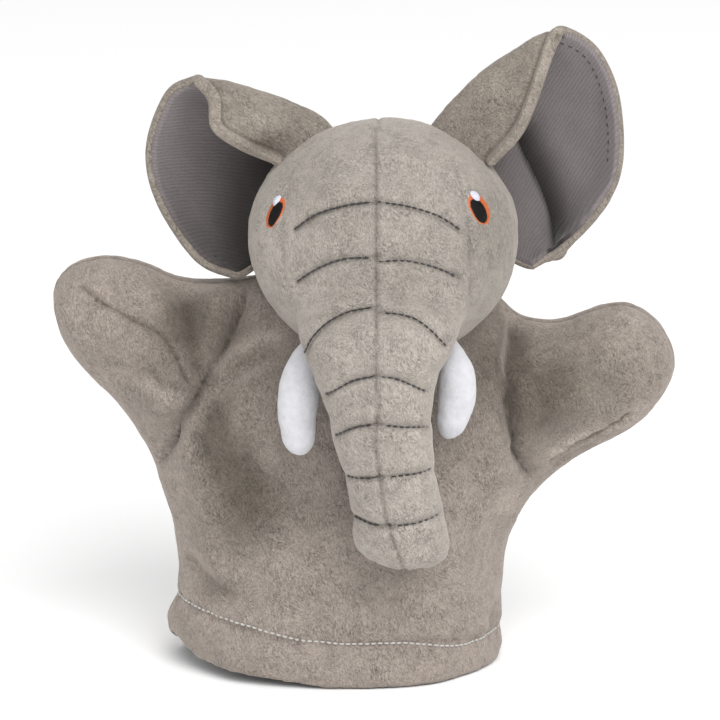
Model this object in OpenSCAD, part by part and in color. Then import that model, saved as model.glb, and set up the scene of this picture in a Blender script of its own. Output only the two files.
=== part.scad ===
// Elephant glove puppet in short-pile plush: a hollow glove body with two sleeves for thumb and finger,
// a stuffed head with a finger pocket, a stuffed trunk in three parts, two ears, two tusks and embroidered eyes.
// Frame: origin at the middle of the hem opening, on its bottom edge. +X is the puppet's left, -Y its front, +Z up.

/* [Cloth] */
// Thickness of the plush, backing and pile together
cloth = 2.4; // [1.6:0.1:3]
// Thickness of the ribbed ear lining
lining = 1.0; // [0.6:0.1:1.4]
// Radius of the sewing thread
thread_r = 0.35; // [0.2:0.05:0.5]
// Length of one topstitch on the hem
stitch_len = 1.7; // [1:0.1:2.4]

/* [Glove] */
// Half width of the hem opening, outside
hem_half_w = 61; // [54:1:66]
// Half depth of the hem opening, outside
hem_half_d = 41; // [36:1:44]
// Height of the turned-up hem
hem_h = 16; // [12:1:20]
// Height of the neck edge of the glove panels
neck_z = 124; // [122:1:125]

/* [Head] */
// Half width of the head
head_rx = 50; // [48:0.5:51]
// Half depth of the head
head_ry = 46; // [44:0.5:47]
// Half height of the head
head_rz = 45; // [43:0.5:46]
// Radius of the finger pocket's bore
finger_r = 9.5; // [8:0.5:10]
// Depth of the straight part of the finger pocket
finger_depth = 46; // [36:1:50]

/* [Eyes] */
// Half width of an embroidered eye
eye_rx = 5.2; // [4:0.1:6]
// Half height of an embroidered eye
eye_rz = 7.8; // [6:0.1:9]

/* [Hidden] */

// Clearance between layers that touch in the real puppet
gap = 0.25;
// Columns of facets round a full tube, and round the head
tube_cols = 20;
head_cols = 36;

head_c = [14, -16, 167];
neck_c = [12, -5];

plush = "#a39a90";
plush_dark = "#8d847b";
felt = "#f2f2f4";
rib = "#655d61";
black_thread = "#2b2724";
white_thread = "#e9e6e0";
fill_colour = "#f7f5ee";

// Sections of the glove: height, centre x, centre y, half width, half depth, half angle of the armhole
glove_sections = [
    [hem_h, -2.5, 0, hem_half_w + 1, hem_half_d, 0],
    [34, -1.5, 0, hem_half_w, hem_half_d - 1.5, 0],
    [50, 0, 0, hem_half_w + 2, hem_half_d - 3, 0],
    [58, 1, 0, hem_half_w + 3.5, hem_half_d - 4, 0],
    [64, 1.5, 0, hem_half_w + 3, hem_half_d - 4.5, 28],
    [76, 2, 0, hem_half_w + 2, hem_half_d - 5.5, 44],
    [90, 3, 0, hem_half_w, hem_half_d - 7, 50],
    [104, 4, 0, hem_half_w - 2, hem_half_d - 9, 51],
    [115, 5, 0, hem_half_w - 5, hem_half_d - 12, 49],
    [120, 6, 0, hem_half_w - 10, hem_half_d - 15, 40],
    [neck_z, 8, 0, hem_half_w - 15, hem_half_d - 17, 14]
];

// Sections of an arm: centre x and z, half height, half depth, slant of the section from upright
right_arm_sections = [
    [-66, 115, 33, 23, 17], [-73, 120.5, 30.3, 22.5, 16.5], [-79.5, 125.5, 27.5, 21.5, 16], [-86, 129.5, 25, 20, 14],
    [-92.5, 133, 22.3, 18.5, 12], [-98.5, 135.5, 18.7, 15.5, 10], [-103, 137, 15, 12, 9], [-107, 138, 10, 8, 8],
    [-109.5, 138.3, 5, 4.5, 8], [-110.5, 138.5, 0, 0, 8]
];
left_arm_sections = [
    [74, 100.5, 31, 22.5, -9], [82, 103.5, 28, 22, -9], [90, 106.5, 26.3, 21.5, -9], [98, 109.5, 25, 20.5, -9],
    [106, 112.5, 23, 18.5, -9], [112.5, 115, 19.5, 15.5, -9], [117.5, 116, 14.5, 12, -9], [121, 116, 9.5, 8, -9],
    [123.2, 116, 4.5, 4.5, -9], [124, 116, 0, 0, -9]
];
// Sections of the soft cloth between the armhole and the sleeve
right_shoulder_sections = [[-40, 93, 29, 25, 6], [-51, 100, 32, 24, 12], [-64.4, 113.4, 33, 23, 17]];
left_shoulder_sections = [[45, 91, 28, 25, -3], [56, 94, 30.5, 24, -5], [72.4, 99.9, 31, 22.5, -9]];

// Sections of the trunk: centre x, y, z, half width, half depth, forward tilt of the section's plane
trunk_sections = [
    [13, -56, 155.5, 33, 18.5, 67],
    [13, -62, 146, 31.5, 18, 50],
    [13.2, -62.5, 138, 29, 18.5, 28],
    [13.5, -62, 130, 26, 18, 8],
    [13, -62, 124, 23.5, 17.5, 2],
    [13.5, -62, 116, 21.2, 17, 0],
    [14.5, -61.5, 106, 19.8, 16.5, 0],
    [16, -61, 97, 18.6, 16.2, 0],
    [17.5, -60, 88, 17.6, 15.8, 0],
    [19, -59, 80, 17.4, 15.4, 0],
    [21, -57.5, 70, 17.4, 15, 0],
    [22.5, -56.5, 62, 16.6, 14.4, 0],
    [23.5, -56, 55, 14, 12, 0],
    [24, -55.5, 51, 9, 7.5, 0],
    [24, -55.5, 49.5, 0, 0, 0]
];

// Curves of an ear from the head to the rim: lower edge, three across the cup, the fold line and the folded-over edge
right_ear_curves = [
    [[-34.2, -8, 154], [-38, -8.5, 151], [-42, -9, 149.5]],
    [[-35, -3, 163], [-48, 2, 158.5], [-58, -6, 156]],
    [[-33.4, -1, 176], [-52, 6, 173], [-71, -4, 178]],
    [[-27.8, -2, 190], [-50, 6, 193], [-73.5, -5, 199]],
    [[-12.5, -4, 205], [-38, 3, 211], [-65, -7, 219]],
    [[-4, -8, 209.8], [-30, -8, 219.5], [-56, -9, 229]],
    [[-29, -18, 193], [-44, -26, 203], [-55, -19, 222]]
];
left_ear_curves = [
    [[63, -8, 155], [67, -8.5, 152.5], [71, -9, 151]],
    [[63.2, -3, 163], [80, 2, 161], [91, -5, 166]],
    [[61.5, -1, 176], [84, 6, 178], [103, -3, 188]],
    [[54, -2, 192], [80, 7, 202], [102.5, -4, 217]],
    [[41, -4, 205], [66, 2, 221], [92, -7, 236]],
    [[33, -8, 210], [57, -8, 229], [80, -10, 247]],
    [[57.5, -17, 192.5], [68.6, -23, 210], [76, -17, 234]]
];

// Sections of a tusk: centre x, y, z, radius
right_tusk_sections = [
    [-20.5, -43.5, 137, 4], [-21, -45.5, 132, 6], [-21, -48.5, 124, 7.6], [-20, -50.5, 114, 8], [-18, -51.5, 105, 7.4],
    [-16.5, -52, 98, 5.6], [-16, -52, 94.6, 3], [-16, -52, 93, 0]
];
left_tusk_sections = [
    [45.3, -41, 135.2, 3.8], [46.5, -42.8, 131, 6], [47, -45.5, 123, 7.2], [46, -47, 114, 7.4], [44, -48, 107, 6.8],
    [41.5, -48.5, 101.5, 5.2], [39.6, -49, 98.8, 2.8], [39, -49, 97.6, 0]
];

// Directions from the head's centre to the eyes, and the lean of each eye
right_eye_dir = [-39.5, -23.5, 15.5];
left_eye_dir = [36, -26, 17.5];

// --- Grids of points -------------------------------------------------------------------------------------------

function unit(v) = norm(v) < 1e-9 ? [0, 0, 0] : v / norm(v);
function flat(rows) = [for (r = rows) each r];
function mean(points) = [for (k = [0:2]) let (s = [for (p = points) p[k]]) s * [for (x = s) 1] / len(s)];

// Catmull-Rom point between two rows of a list, u counted in rows
function between(list, u) =
    let (n = len(list) - 1, i = min(floor(u), n - 1), t = u - i,
        a = list[max(i - 1, 0)], b = list[i], c = list[i + 1], d = list[min(i + 2, n)])
    0.5 * (2 * b + (c - a) * t + (2 * a - 5 * b + 4 * c - d) * t * t + (3 * b - a - 3 * c + d) * t * t * t);

// A net of control curves as a finer grid
function finer(curves, across, along) = [
    for (v = [0:across]) [
        for (u = [0:along])
            between([for (c = curves) between(c, u * (len(c) - 1) / along)], v * (len(curves) - 1) / across)
    ]
];

// Normal of a grid at row i and column j; closed says that the columns go right round
function grid_normal(g, i, j, closed) =
    let (n = len(g) - 1, m = len(g[0]),
        jn = closed ? (j + 1) % m : min(j + 1, m - 1), jp = closed ? (j + m - 1) % m : max(j - 1, 0))
    unit(cross(g[i][jn] - g[i][jp], g[min(i + 1, n)][j] - g[max(i - 1, 0)][j]));

// An open grid moved d along its normals
function offset_sheet(g, d) = [
    for (i = [0:len(g) - 1]) [for (j = [0:len(g[0]) - 1]) g[i][j] + d * grid_normal(g, i, j, false)]
];

// A tube's rings moved outwards by d, its end point too
function offset_tube(g, d) =
    let (mid = floor(len(g) / 2), n = len(g) - 1,
        out = grid_normal(g, mid, 0, true) * (g[mid][0] - mean(g[mid])) > 0 ? d : -d)
    [for (i = [0:n]) [for (j = [0:len(g[0]) - 1])
        norm(g[i][0] - g[i][1]) < 1e-6
            ? g[i][j] + d * unit(mean(g[i]) - mean(g[max(i - 1, 0)]))
            : g[i][j] + out * grid_normal(g, i, j, true)]];

// Columns a to b of a closed grid, counting past the join
function columns(g, a, b) = [for (row = g) [for (j = [a:b]) row[(j + len(row)) % len(row)]]];

// --- Closed solids from grids ----------------------------------------------------------------------------------

function quads(n, m, start, wrap) = [
    for (i = [0:n - 2]) for (j = [0:m - (wrap ? 1 : 2)])
        let (k = (j + 1) % m, a = start + i * m + j, b = start + i * m + k, c = b + m, d = a + m)
            each [[a, b, c], [a, c, d]]
];
function reversed(tris) = [for (t = tris) [t[2], t[1], t[0]]];
function strip(a, b) = [
    for (i = [0:len(a) - 2]) each [[a[i], a[i + 1], b[i + 1]], [a[i], b[i + 1], b[i]]]
];
function sound(p, tris) = [
    for (t = tris)
        if (norm(p[t[0]] - p[t[1]]) > 1e-6 && norm(p[t[1]] - p[t[2]]) > 1e-6 && norm(p[t[2]] - p[t[0]]) > 1e-6) t
];
function six_volumes(p, tris) =
    let (v = [for (t = tris) cross(p[t[0]], p[t[1]]) * p[t[2]]]) v * [for (x = v) 1];

module closed_mesh(points, tris) {
    kept = sound(points, tris);
    polyhedron(points, six_volumes(points, kept) > 0 ? reversed(kept) : kept, convexity = 6);
}

// The wall between two grids of equal size; wrap says that the columns go right round
module wall(outer, inner, wrap = false) {
    n = len(outer);
    m = len(outer[0]);
    all = n * m;
    closing = wrap ? [0] : [];
    first = concat([for (j = [0:m - 1]) j], closing);
    last = [for (j = first) (n - 1) * m + j];
    left = [for (i = [0:n - 1]) i * m];
    right = [for (i = left) i + m - 1];
    sides = wrap ? [] : concat(strip(left, [for (i = left) i + all]), strip([for (i = right) i + all], right));
    closed_mesh(concat(flat(outer), flat(inner)), concat(
        quads(n, m, 0, wrap), reversed(quads(n, m, all, wrap)), sides,
        strip([for (j = first) j + all], first), strip(last, [for (j = last) j + all])));
}

// A solid tube whose ends are closed by flat caps, or come to a point
module filled(g) {
    n = len(g);
    m = len(g[0]);
    points = concat(flat(g), [mean(g[0]), mean(g[n - 1])]);
    caps = [for (j = [0:m - 1]) let (k = (j + 1) % m) each
        [[k, j, n * m], [(n - 1) * m + j, (n - 1) * m + k, n * m + 1]]];
    closed_mesh(points, concat(quads(n, m, 0, true), caps));
}

// One stitch of thread from a to b
module stitch(a, b, r = thread_r) {
    d = b - a;
    translate(a)
        rotate([0, acos(d[2] / norm(d)), atan2(d[1], d[0])])
            cylinder(h = norm(d), r = r, $fn = 16);
}

// Stitches along a line of points, each filling the given share of its step
module stitch_line(points, share = 0.72) {
    for (i = [0:len(points) - 2])
        stitch(points[i], points[i] + (points[i + 1] - points[i]) * share);
}

// --- Glove -----------------------------------------------------------------------------------------------------

// Rings of one glove panel, from angle a0 to a1 on the unbroken rings, in from the outside by d
function panel_rings(a0, a1, d, cols = 16) = [
    for (s = glove_sections) [
        for (j = [0:cols])
            let (a = a0 + s[5] + (a1 - a0 - 2 * s[5]) * j / cols)
                [s[1] + (s[3] - d) * cos(a), s[2] + (s[4] - d) * sin(a), s[0]]
    ]
];

module glove_front_panel() {
    color(plush) wall(panel_rings(180, 360, 0), panel_rings(180, 360, cloth));
}

module glove_back_panel() {
    color(plush) wall(panel_rings(0, 180, 0), panel_rings(0, 180, cloth));
}

function hem_ring(z, d) = [
    for (j = [0:39]) let (a = j * 9) [-2 + (hem_half_w + d) * cos(a), (hem_half_d + d) * sin(a), z]
];

// The turned-up hem: two layers of plush round the opening, flat on its bottom edge
module hem_band() {
    z = [0, hem_h * 0.3, hem_h * 0.7, hem_h];
    bulge = [0, 1.8, 1.8, 0];
    color(plush)
        wall([for (i = [0:3]) hem_ring(z[i], bulge[i])], [for (i = [0:3]) hem_ring(z[i], -2 * cloth)], wrap = true);
}

module hem_stitching() {
    count = 120;
    z = hem_h - 1.2;
    color(white_thread)
        for (j = [0:count - 1]) {
            a = j * 360 / count;
            p = [-2 + (hem_half_w + 1.1) * cos(a), (hem_half_d + 1.1) * sin(a), z];
            along = unit([-hem_half_w * sin(a), hem_half_d * cos(a), 0]);
            stitch(p - along * stitch_len / 2, p + along * stitch_len / 2);
        }
}

// --- Arms ------------------------------------------------------------------------------------------------------

arm_y = 1;

// Rings of an arm, in from its sections by d; column 0 is the upper seam
function arm_rings(sections, d = 0) = [
    for (s = sections) [
        for (j = [0:tube_cols - 1])
            let (a = j * 360 / tube_cols)
                [s[0], arm_y + (s[3] - d) * sin(a), s[1]] + [sin(s[4]), 0, cos(s[4])] * (s[2] - d) * cos(a)
    ]
];

// Half of a sleeve, between the upper and the lower seam
module sleeve_half(sections, back) {
    half = tube_cols / 2;
    rings = arm_rings(sections);
    inner = offset_tube(rings, -cloth);
    a = back ? 0 : half;
    color(plush) wall(columns(rings, a, a + half), columns(inner, a, a + half));
}

module right_sleeve_front() sleeve_half(right_arm_sections, false);
module right_sleeve_back() sleeve_half(right_arm_sections, true);
module left_sleeve_front() sleeve_half(left_arm_sections, false);
module left_sleeve_back() sleeve_half(left_arm_sections, true);

// The soft stretch of cloth between the armhole and the sleeve, which folds as the arm moves
module shoulder_cloth(sections) {
    color(plush_dark) wall(arm_rings(sections), arm_rings(sections, cloth), wrap = true);
}

module right_shoulder_cloth() shoulder_cloth(right_shoulder_sections);
module left_shoulder_cloth() shoulder_cloth(left_shoulder_sections);

// --- Head ------------------------------------------------------------------------------------------------------

head_r = [head_rx, head_ry, head_rz];
// Lowest latitude of the head's skin, where the neck opening is cut, and the rows above it
open_lat = -44;
head_rows = 11;

// Point of the head's skin in a direction from its centre, out by d
function head_point(dir, d = 0) =
    let (u = unit(dir), s = norm([for (k = [0:2]) u[k] / head_r[k]])) head_c + u * (1 / s + d);

function head_grid(d) = [
    for (i = [0:head_rows])
        let (lat = open_lat + (90 - open_lat) * i / head_rows)
            [for (j = [0:head_cols - 1])
                let (lon = j * 360 / head_cols)
                    head_c + [
                        (head_rx + d) * cos(lat) * cos(lon), (head_ry + d) * cos(lat) * sin(lon),
                        (head_rz + d) * sin(lat)]]
];

// A head panel between two columns of longitude
module head_panel(a, b) {
    color(plush) wall(columns(head_grid(0), a, b), columns(head_grid(-cloth), a, b));
}

module head_back_panel() head_panel(5, 13);
module right_cheek_panel() head_panel(13, 23);
module right_face_panel() head_panel(23, 27);
module left_face_panel() head_panel(27, 31);
module left_cheek_panel() head_panel(31, 41);

base_z = head_c[2] + head_rz * sin(open_lat);
pocket_outer_r = finger_r + 1.2;
// Height of the head's base panel, inside the neck opening
base_panel_z = base_z + cloth + gap;

// The panel that closes the head's base round the finger pocket
module head_base_panel() {
    shrink = cos(open_lat) - 0.04;
    color(plush)
        translate([0, 0, base_panel_z])
            linear_extrude(1.4)
                difference() {
                    polygon([for (j = [0:31]) let (a = j * 11.25) [
                        head_c[0] + (head_rx * shrink - cloth) * cos(a),
                        head_c[1] + (head_ry * shrink - cloth) * sin(a)]]);
                    translate(neck_c) circle(r = pocket_outer_r + gap, $fn = 48);
                }
}

stuffing_base_z = base_panel_z + 1.4 + gap;

module head_stuffing() {
    d = cloth + gap;
    low = asin((stuffing_base_z - head_c[2]) / (head_rz - d));
    color(fill_colour)
        difference() {
            filled([for (i = [0:8])
                let (lat = low + (90 - low) * i / 8)
                    [for (j = [0:19]) let (lon = j * 18) head_c + [
                        (head_rx - d) * cos(lat) * cos(lon), (head_ry - d) * cos(lat) * sin(lon),
                        (head_rz - d) * sin(lat)]]]);
            translate([neck_c[0], neck_c[1], stuffing_base_z - 1])
                cylinder(h = finger_depth + 3, r = pocket_outer_r + gap, $fn = 64);
        }
}

// The lining tube that takes the finger, closed at its top
module finger_pocket() {
    top = base_panel_z + finger_depth;
    color(white_thread)
        translate([neck_c[0], neck_c[1], base_panel_z - 3])
            difference() {
                cylinder(h = top - base_panel_z + 3, r = pocket_outer_r, $fn = 64);
                translate([0, 0, -1]) cylinder(h = finger_depth + 1, r = finger_r, $fn = 64);
            }
}

// Sections of the soft neck between the glove's neck edge and the head's opening: x, y, z, half width, half depth
neck_sections = [
    [8, 0, neck_z + gap, hem_half_w - 15.5, hem_half_d - 17.5],
    [11, -8, 130, 41, 29],
    [head_c[0], head_c[1], base_z - 2 * gap, head_rx * cos(open_lat), head_ry * cos(open_lat)]
];

module neck_cloth() {
    function rings(d) = [for (s = neck_sections) [for (j = [0:head_cols - 1]) let (a = j * 360 / head_cols)
        [s[0] + (s[3] - d) * cos(a), s[1] + (s[4] - d) * sin(a), s[2]]]];
    color(plush_dark) wall(rings(0), rings(cloth), wrap = true);
}

// --- Trunk -----------------------------------------------------------------------------------------------------

function trunk_ring(s, d = 0, cols = tube_cols) = [
    for (j = [0:cols - 1])
        let (a = j * 360 / cols, back = [0, cos(s[5]), -sin(s[5])])
            [s[0], s[1], s[2]] + [max(s[3] - d, 0) * cos(a), 0, 0] + back * max(s[4] - d, 0) * sin(a)
];
// Section between the rows of trunk_sections
function trunk_at(u) = between(trunk_sections, u);
// The first ring of the trunk lies on the head
function root_rings(d) = concat(
    [[for (p = trunk_ring(trunk_sections[0], d)) head_point(p - head_c, gap)]],
    [for (u = [1:0.5:root_end]) trunk_ring(trunk_at(u), d)]);

// Half of a stretch of trunk; columns 5 and 15 are its back and front seams
module trunk_half(outer, inner, right) {
    quarter = tube_cols / 4;
    a = right ? quarter : 3 * quarter;
    color(plush) wall(columns(outer, a, a + 2 * quarter), columns(inner, a, a + 2 * quarter));
}

// Rows of trunk_sections at which each stretch begins and ends
root_end = 3.5;
middle_rows = [5.25, 7];
tip_rows = [9, 14];

function stretch(rows, d) = [for (i = [0:4]) trunk_ring(trunk_at(rows[0] + (rows[1] - rows[0]) * i / 4), d)];
function tip_rings() = [for (u = [tip_rows[0]:0.5:tip_rows[1]]) trunk_ring(trunk_at(u))];

module trunk_root_right_panel() trunk_half(root_rings(0), root_rings(cloth), true);
module trunk_root_left_panel() trunk_half(root_rings(0), root_rings(cloth), false);
module trunk_middle_right_panel() trunk_half(stretch(middle_rows, 0), stretch(middle_rows, cloth), true);
module trunk_middle_left_panel() trunk_half(stretch(middle_rows, 0), stretch(middle_rows, cloth), false);
module trunk_tip_right_panel() trunk_half(tip_rings(), offset_tube(tip_rings(), -cloth), true);
module trunk_tip_left_panel() trunk_half(tip_rings(), offset_tube(tip_rings(), -cloth), false);

// Rings that cover the head inside the trunk's first ring, from a point outwards
function root_cap(ring) = [
    for (k = [0, 0.35, 0.7]) [for (p = ring) head_point(mean(ring) + (p - mean(ring)) * k - head_c, gap)]
];

module trunk_root_stuffing() {
    g = root_rings(cloth + gap);
    color(fill_colour) filled(concat(root_cap(g[0]), g));
}

module trunk_middle_stuffing() {
    color(fill_colour) filled(stretch(middle_rows, cloth + gap));
}

module trunk_tip_stuffing() {
    color(fill_colour) filled(offset_tube(tip_rings(), -cloth - gap));
}

// The soft stretches that fold as the trunk bends
module trunk_fold(a, b) {
    n = 4;
    step = (b - a) / n;
    color(plush_dark)
        wall([for (i = [0:n]) trunk_ring(trunk_at(a + step * i))],
            [for (i = [0:n]) trunk_ring(trunk_at(a + step * i), cloth)], wrap = true);
}

module trunk_upper_fold() trunk_fold(root_end + 0.03, middle_rows[0] - 0.03);
module trunk_lower_fold() trunk_fold(middle_rows[1] + 0.03, tip_rows[0] - 0.1);

// A wrinkle stitched across the front of the trunk at row u, rising by lift towards its middle
function trunk_wrinkle(u, lift, steps = 14) = [
    for (i = [0:steps])
        let (a = 212 + 116 * i / steps, s = trunk_at(u), up = lift * sin(180 * i / steps))
            [s[0] + (s[3] + 0.6) * cos(a), s[1] + (s[4] + 0.6) * sin(a), s[2] + up]
];

module trunk_middle_stitching() {
    color(black_thread) stitch_line(trunk_wrinkle(6.2, 2.5));
}

module trunk_tip_stitching() {
    color(black_thread) {
        stitch_line(trunk_wrinkle(9.3, 0.8));
        stitch_line(trunk_wrinkle(11.4, -1.2));
    }
}

// A wrinkle stitched across the forehead, in directions from the head's centre
function brow_wrinkle(half_lon, lat, lift, steps = 20) = [
    for (i = [0:steps])
        let (lon = 268 + half_lon * (2 * i / steps - 1), l = lat + lift * sin(180 * i / steps))
            head_point([cos(l) * cos(lon), cos(l) * sin(lon), sin(l)], 0.6)
];

module brow_stitching() {
    color(black_thread) {
        stitch_line(brow_wrinkle(34, 22, 9));
        stitch_line(brow_wrinkle(34, 1, 7));
    }
}

// --- Ears ------------------------------------------------------------------------------------------------------

ear_rows = 14;
ear_cols = 6;
// Room between the head and the ears, so that the ears can flap
ear_gap = 1.8;

// A grid with every point at least ear_gap outside the head
function clear_of_head(g) = [
    for (row = g) [
        for (p = row)
            let (q = p - head_c, edge = head_point(q, ear_gap))
                norm(q) < norm(edge - head_c) ? edge : p
    ]
];

// The plush back of an ear; the curves' side is where the lining lies
module ear_back(curves, behind) {
    g = finer(curves, ear_rows, ear_cols);
    color(plush) wall(clear_of_head(g), clear_of_head(offset_sheet(g, behind * cloth)));
}

function ear_inset(curves) =
    let (g = finer(curves, 2 * ear_rows, 2 * ear_cols)) [
        for (i = [1:2:2 * ear_rows - 1]) [for (j = [0:2 * ear_cols - 1]) g[i][j]]];

module ear_lining(curves, behind) {
    g = ear_inset(curves);
    color(rib)
        wall(clear_of_head(offset_sheet(g, -behind * gap)),
            clear_of_head(offset_sheet(g, -behind * (gap + lining))));
}

// The topstitch that holds the lining, a little inside the rim
module ear_stitching(curves, behind) {
    g = offset_sheet(ear_inset(curves), -behind * (gap + lining + 0.6));
    color(black_thread)
        stitch_line([for (i = [1:len(g) - 4]) g[i][len(g[0]) - 3]], share = 0.35);
}

module right_ear_back() ear_back(right_ear_curves, 1);
module right_ear_lining() ear_lining(right_ear_curves, 1);
module right_ear_stitching() ear_stitching(right_ear_curves, 1);
module left_ear_back() ear_back(left_ear_curves, -1);
module left_ear_lining() ear_lining(left_ear_curves, -1);
module left_ear_stitching() ear_stitching(left_ear_curves, -1);

// --- Tusks -----------------------------------------------------------------------------------------------------

felt_t = 1.2;

function tusk_rings(sections) = [
    for (u = [0:0.5:len(sections) - 1])
        let (s = between(sections, u), r = max(s[3], 0))
            [for (j = [0:13]) let (a = j * 360 / 14) [s[0] + r * cos(a), s[1] + r * sin(a), s[2]]]
];

module tusk_felt(sections) {
    g = tusk_rings(sections);
    color(felt) wall(g, offset_tube(g, -felt_t), wrap = true);
}

module tusk_stuffing(sections) {
    color(fill_colour) filled(offset_tube(tusk_rings(sections), -felt_t - gap));
}

module right_tusk_felt() tusk_felt(right_tusk_sections);
module right_tusk_stuffing() tusk_stuffing(right_tusk_sections);
module left_tusk_felt() tusk_felt(left_tusk_sections);
module left_tusk_stuffing() tusk_stuffing(left_tusk_sections);

// --- Eyes ------------------------------------------------------------------------------------------------------

// A ring of points on the head round an eye, at the given share of its size, leaning towards the brow
function eye_ring(dir, share_x, share_z, d, shift = [0, 0], cols = 20) =
    let (n = unit(dir), side = unit(cross([0, 0, 1], n)), up = cross(n, side), lean = dir[0] < 0 ? -14 : 14,
        far = norm(dir))
    [for (j = [0:cols - 1])
        let (a = j * 360 / cols, p = shift[0] + eye_rx * share_x * cos(a), q = shift[1] + eye_rz * share_z * sin(a))
            head_point(n * far
                + side * (p * cos(lean) - q * sin(lean)) + up * (p * sin(lean) + q * cos(lean)), d)];

module eye_iris(dir) {
    function grid(d) = [eye_ring(dir, 0.64, 0.72, d), eye_ring(dir, 1, 1, d)];
    color("#d9772e") wall(grid(0.9), grid(0.15), wrap = true);
}

module eye_pupil(dir) {
    function grid(d) = [for (k = [0, 0.33, 0.6]) eye_ring(dir, k, k * 1.14, d)];
    color("#14100e") wall(grid(0.9), grid(0.15), wrap = true);
}

module eye_glint(dir) {
    shift = [dir[0] < 0 ? -1.6 : 1.6, 0.6 * eye_rz];
    function grid(d) = [for (k = [0, 0.2, 0.4]) eye_ring(dir, k, k * 0.72, d, shift)];
    color("#eef0f6") wall(grid(1.7), grid(1.05), wrap = true);
}

module right_eye_iris() eye_iris(right_eye_dir);
module right_eye_pupil() eye_pupil(right_eye_dir);
module right_eye_glint() eye_glint(right_eye_dir);
module left_eye_iris() eye_iris(left_eye_dir);
module left_eye_pupil() eye_pupil(left_eye_dir);
module left_eye_glint() eye_glint(left_eye_dir);

// --- Nodes -----------------------------------------------------------------------------------------------------

glove_front_panel();
glove_back_panel();
hem_band();
hem_stitching();
right_shoulder_cloth();
right_sleeve_front();
right_sleeve_back();
left_shoulder_cloth();
left_sleeve_front();
left_sleeve_back();
neck_cloth();
head_back_panel();
right_cheek_panel();
left_cheek_panel();
right_face_panel();
left_face_panel();
head_base_panel();
head_stuffing();
finger_pocket();
brow_stitching();
trunk_root_right_panel();
trunk_root_left_panel();
trunk_root_stuffing();
trunk_upper_fold();
trunk_middle_right_panel();
trunk_middle_left_panel();
trunk_middle_stuffing();
trunk_middle_stitching();
trunk_lower_fold();
trunk_tip_right_panel();
trunk_tip_left_panel();
trunk_tip_stuffing();
trunk_tip_stitching();
right_ear_back();
right_ear_lining();
right_ear_stitching();
left_ear_back();
left_ear_lining();
left_ear_stitching();
right_tusk_felt();
right_tusk_stuffing();
left_tusk_felt();
left_tusk_stuffing();
right_eye_iris();
right_eye_pupil();
right_eye_glint();
left_eye_iris();
left_eye_pupil();
left_eye_glint();
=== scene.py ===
# Elephant glove puppet: the soft pieces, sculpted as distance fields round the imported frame, and the studio.
# Sizes in the sculpting code are millimetres in the row frame; MM turns them into Blender's metres.
import math

import bpy
import numpy as np
import openvdb
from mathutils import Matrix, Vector
from mathutils.bvhtree import BVHTree


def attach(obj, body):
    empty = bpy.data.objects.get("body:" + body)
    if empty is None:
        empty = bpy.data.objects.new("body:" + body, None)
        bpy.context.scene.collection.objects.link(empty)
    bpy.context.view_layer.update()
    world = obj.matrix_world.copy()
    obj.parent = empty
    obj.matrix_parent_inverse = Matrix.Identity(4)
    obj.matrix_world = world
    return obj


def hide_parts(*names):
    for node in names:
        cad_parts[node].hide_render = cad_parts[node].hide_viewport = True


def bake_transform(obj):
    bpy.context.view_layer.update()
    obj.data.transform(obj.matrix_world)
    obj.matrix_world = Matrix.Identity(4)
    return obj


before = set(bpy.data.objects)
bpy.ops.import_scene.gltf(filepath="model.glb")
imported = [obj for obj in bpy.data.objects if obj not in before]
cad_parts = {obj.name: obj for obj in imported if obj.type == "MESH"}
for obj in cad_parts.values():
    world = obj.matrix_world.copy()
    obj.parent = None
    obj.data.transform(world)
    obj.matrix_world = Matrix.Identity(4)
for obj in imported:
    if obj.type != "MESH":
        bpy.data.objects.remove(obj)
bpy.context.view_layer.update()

MM = 0.001
CLOTH = 2.4  # thickness of the plush


# --- Numbers and fields ---------------------------------------------------------------------------


def smoothstep(a, b, x):
    t = np.clip((x - a) / (b - a), 0, 1)
    return t * t * (3 - 2 * t)


def curve(knots, values, x):
    """Smooth curve through the values at the knots."""
    k, v = np.asarray(knots, float), np.asarray(values, float)
    slope = np.gradient(v, k)
    x = np.clip(x, k[0], k[-1])
    i = np.clip(np.searchsorted(k, x, side="right") - 1, 0, len(k) - 2)
    h = k[i + 1] - k[i]
    t = (x - k[i]) / h
    return (
        (2 * t**3 - 3 * t**2 + 1) * v[i]
        + (t**3 - 2 * t**2 + t) * h * slope[i]
        + (3 * t**2 - 2 * t**3) * v[i + 1]
        + (t**3 - t**2) * h * slope[i + 1]
    )


def bell(x, wide):
    """1 at zero, falling softly to nothing at about twice the width."""
    return np.exp(-((x / wide) ** 2))


def patches(x, z, table):
    """Sum of soft patches, each given as its centre x and z, its reach across and up, and its strength."""
    return sum(s * bell(x - cx, wx) * bell(z - cz, wz) for cx, cz, wx, wz, s in table)


def unit(v):
    """Vectors scaled to length 1."""
    return v / np.maximum(np.linalg.norm(v, axis=-1, keepdims=True), 1e-9)


def circle(cols):
    """Evenly spaced angles once round."""
    return np.linspace(0, 2 * math.pi, cols, endpoint=False)


def smooth_min(a, b, k):
    h = np.clip(0.5 + 0.5 * (b - a) / k, 0, 1)
    return b + (a - b) * h - k * h * (1 - h)


def smooth_max(a, b, k):
    return -smooth_min(-a, -b, k)


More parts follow.
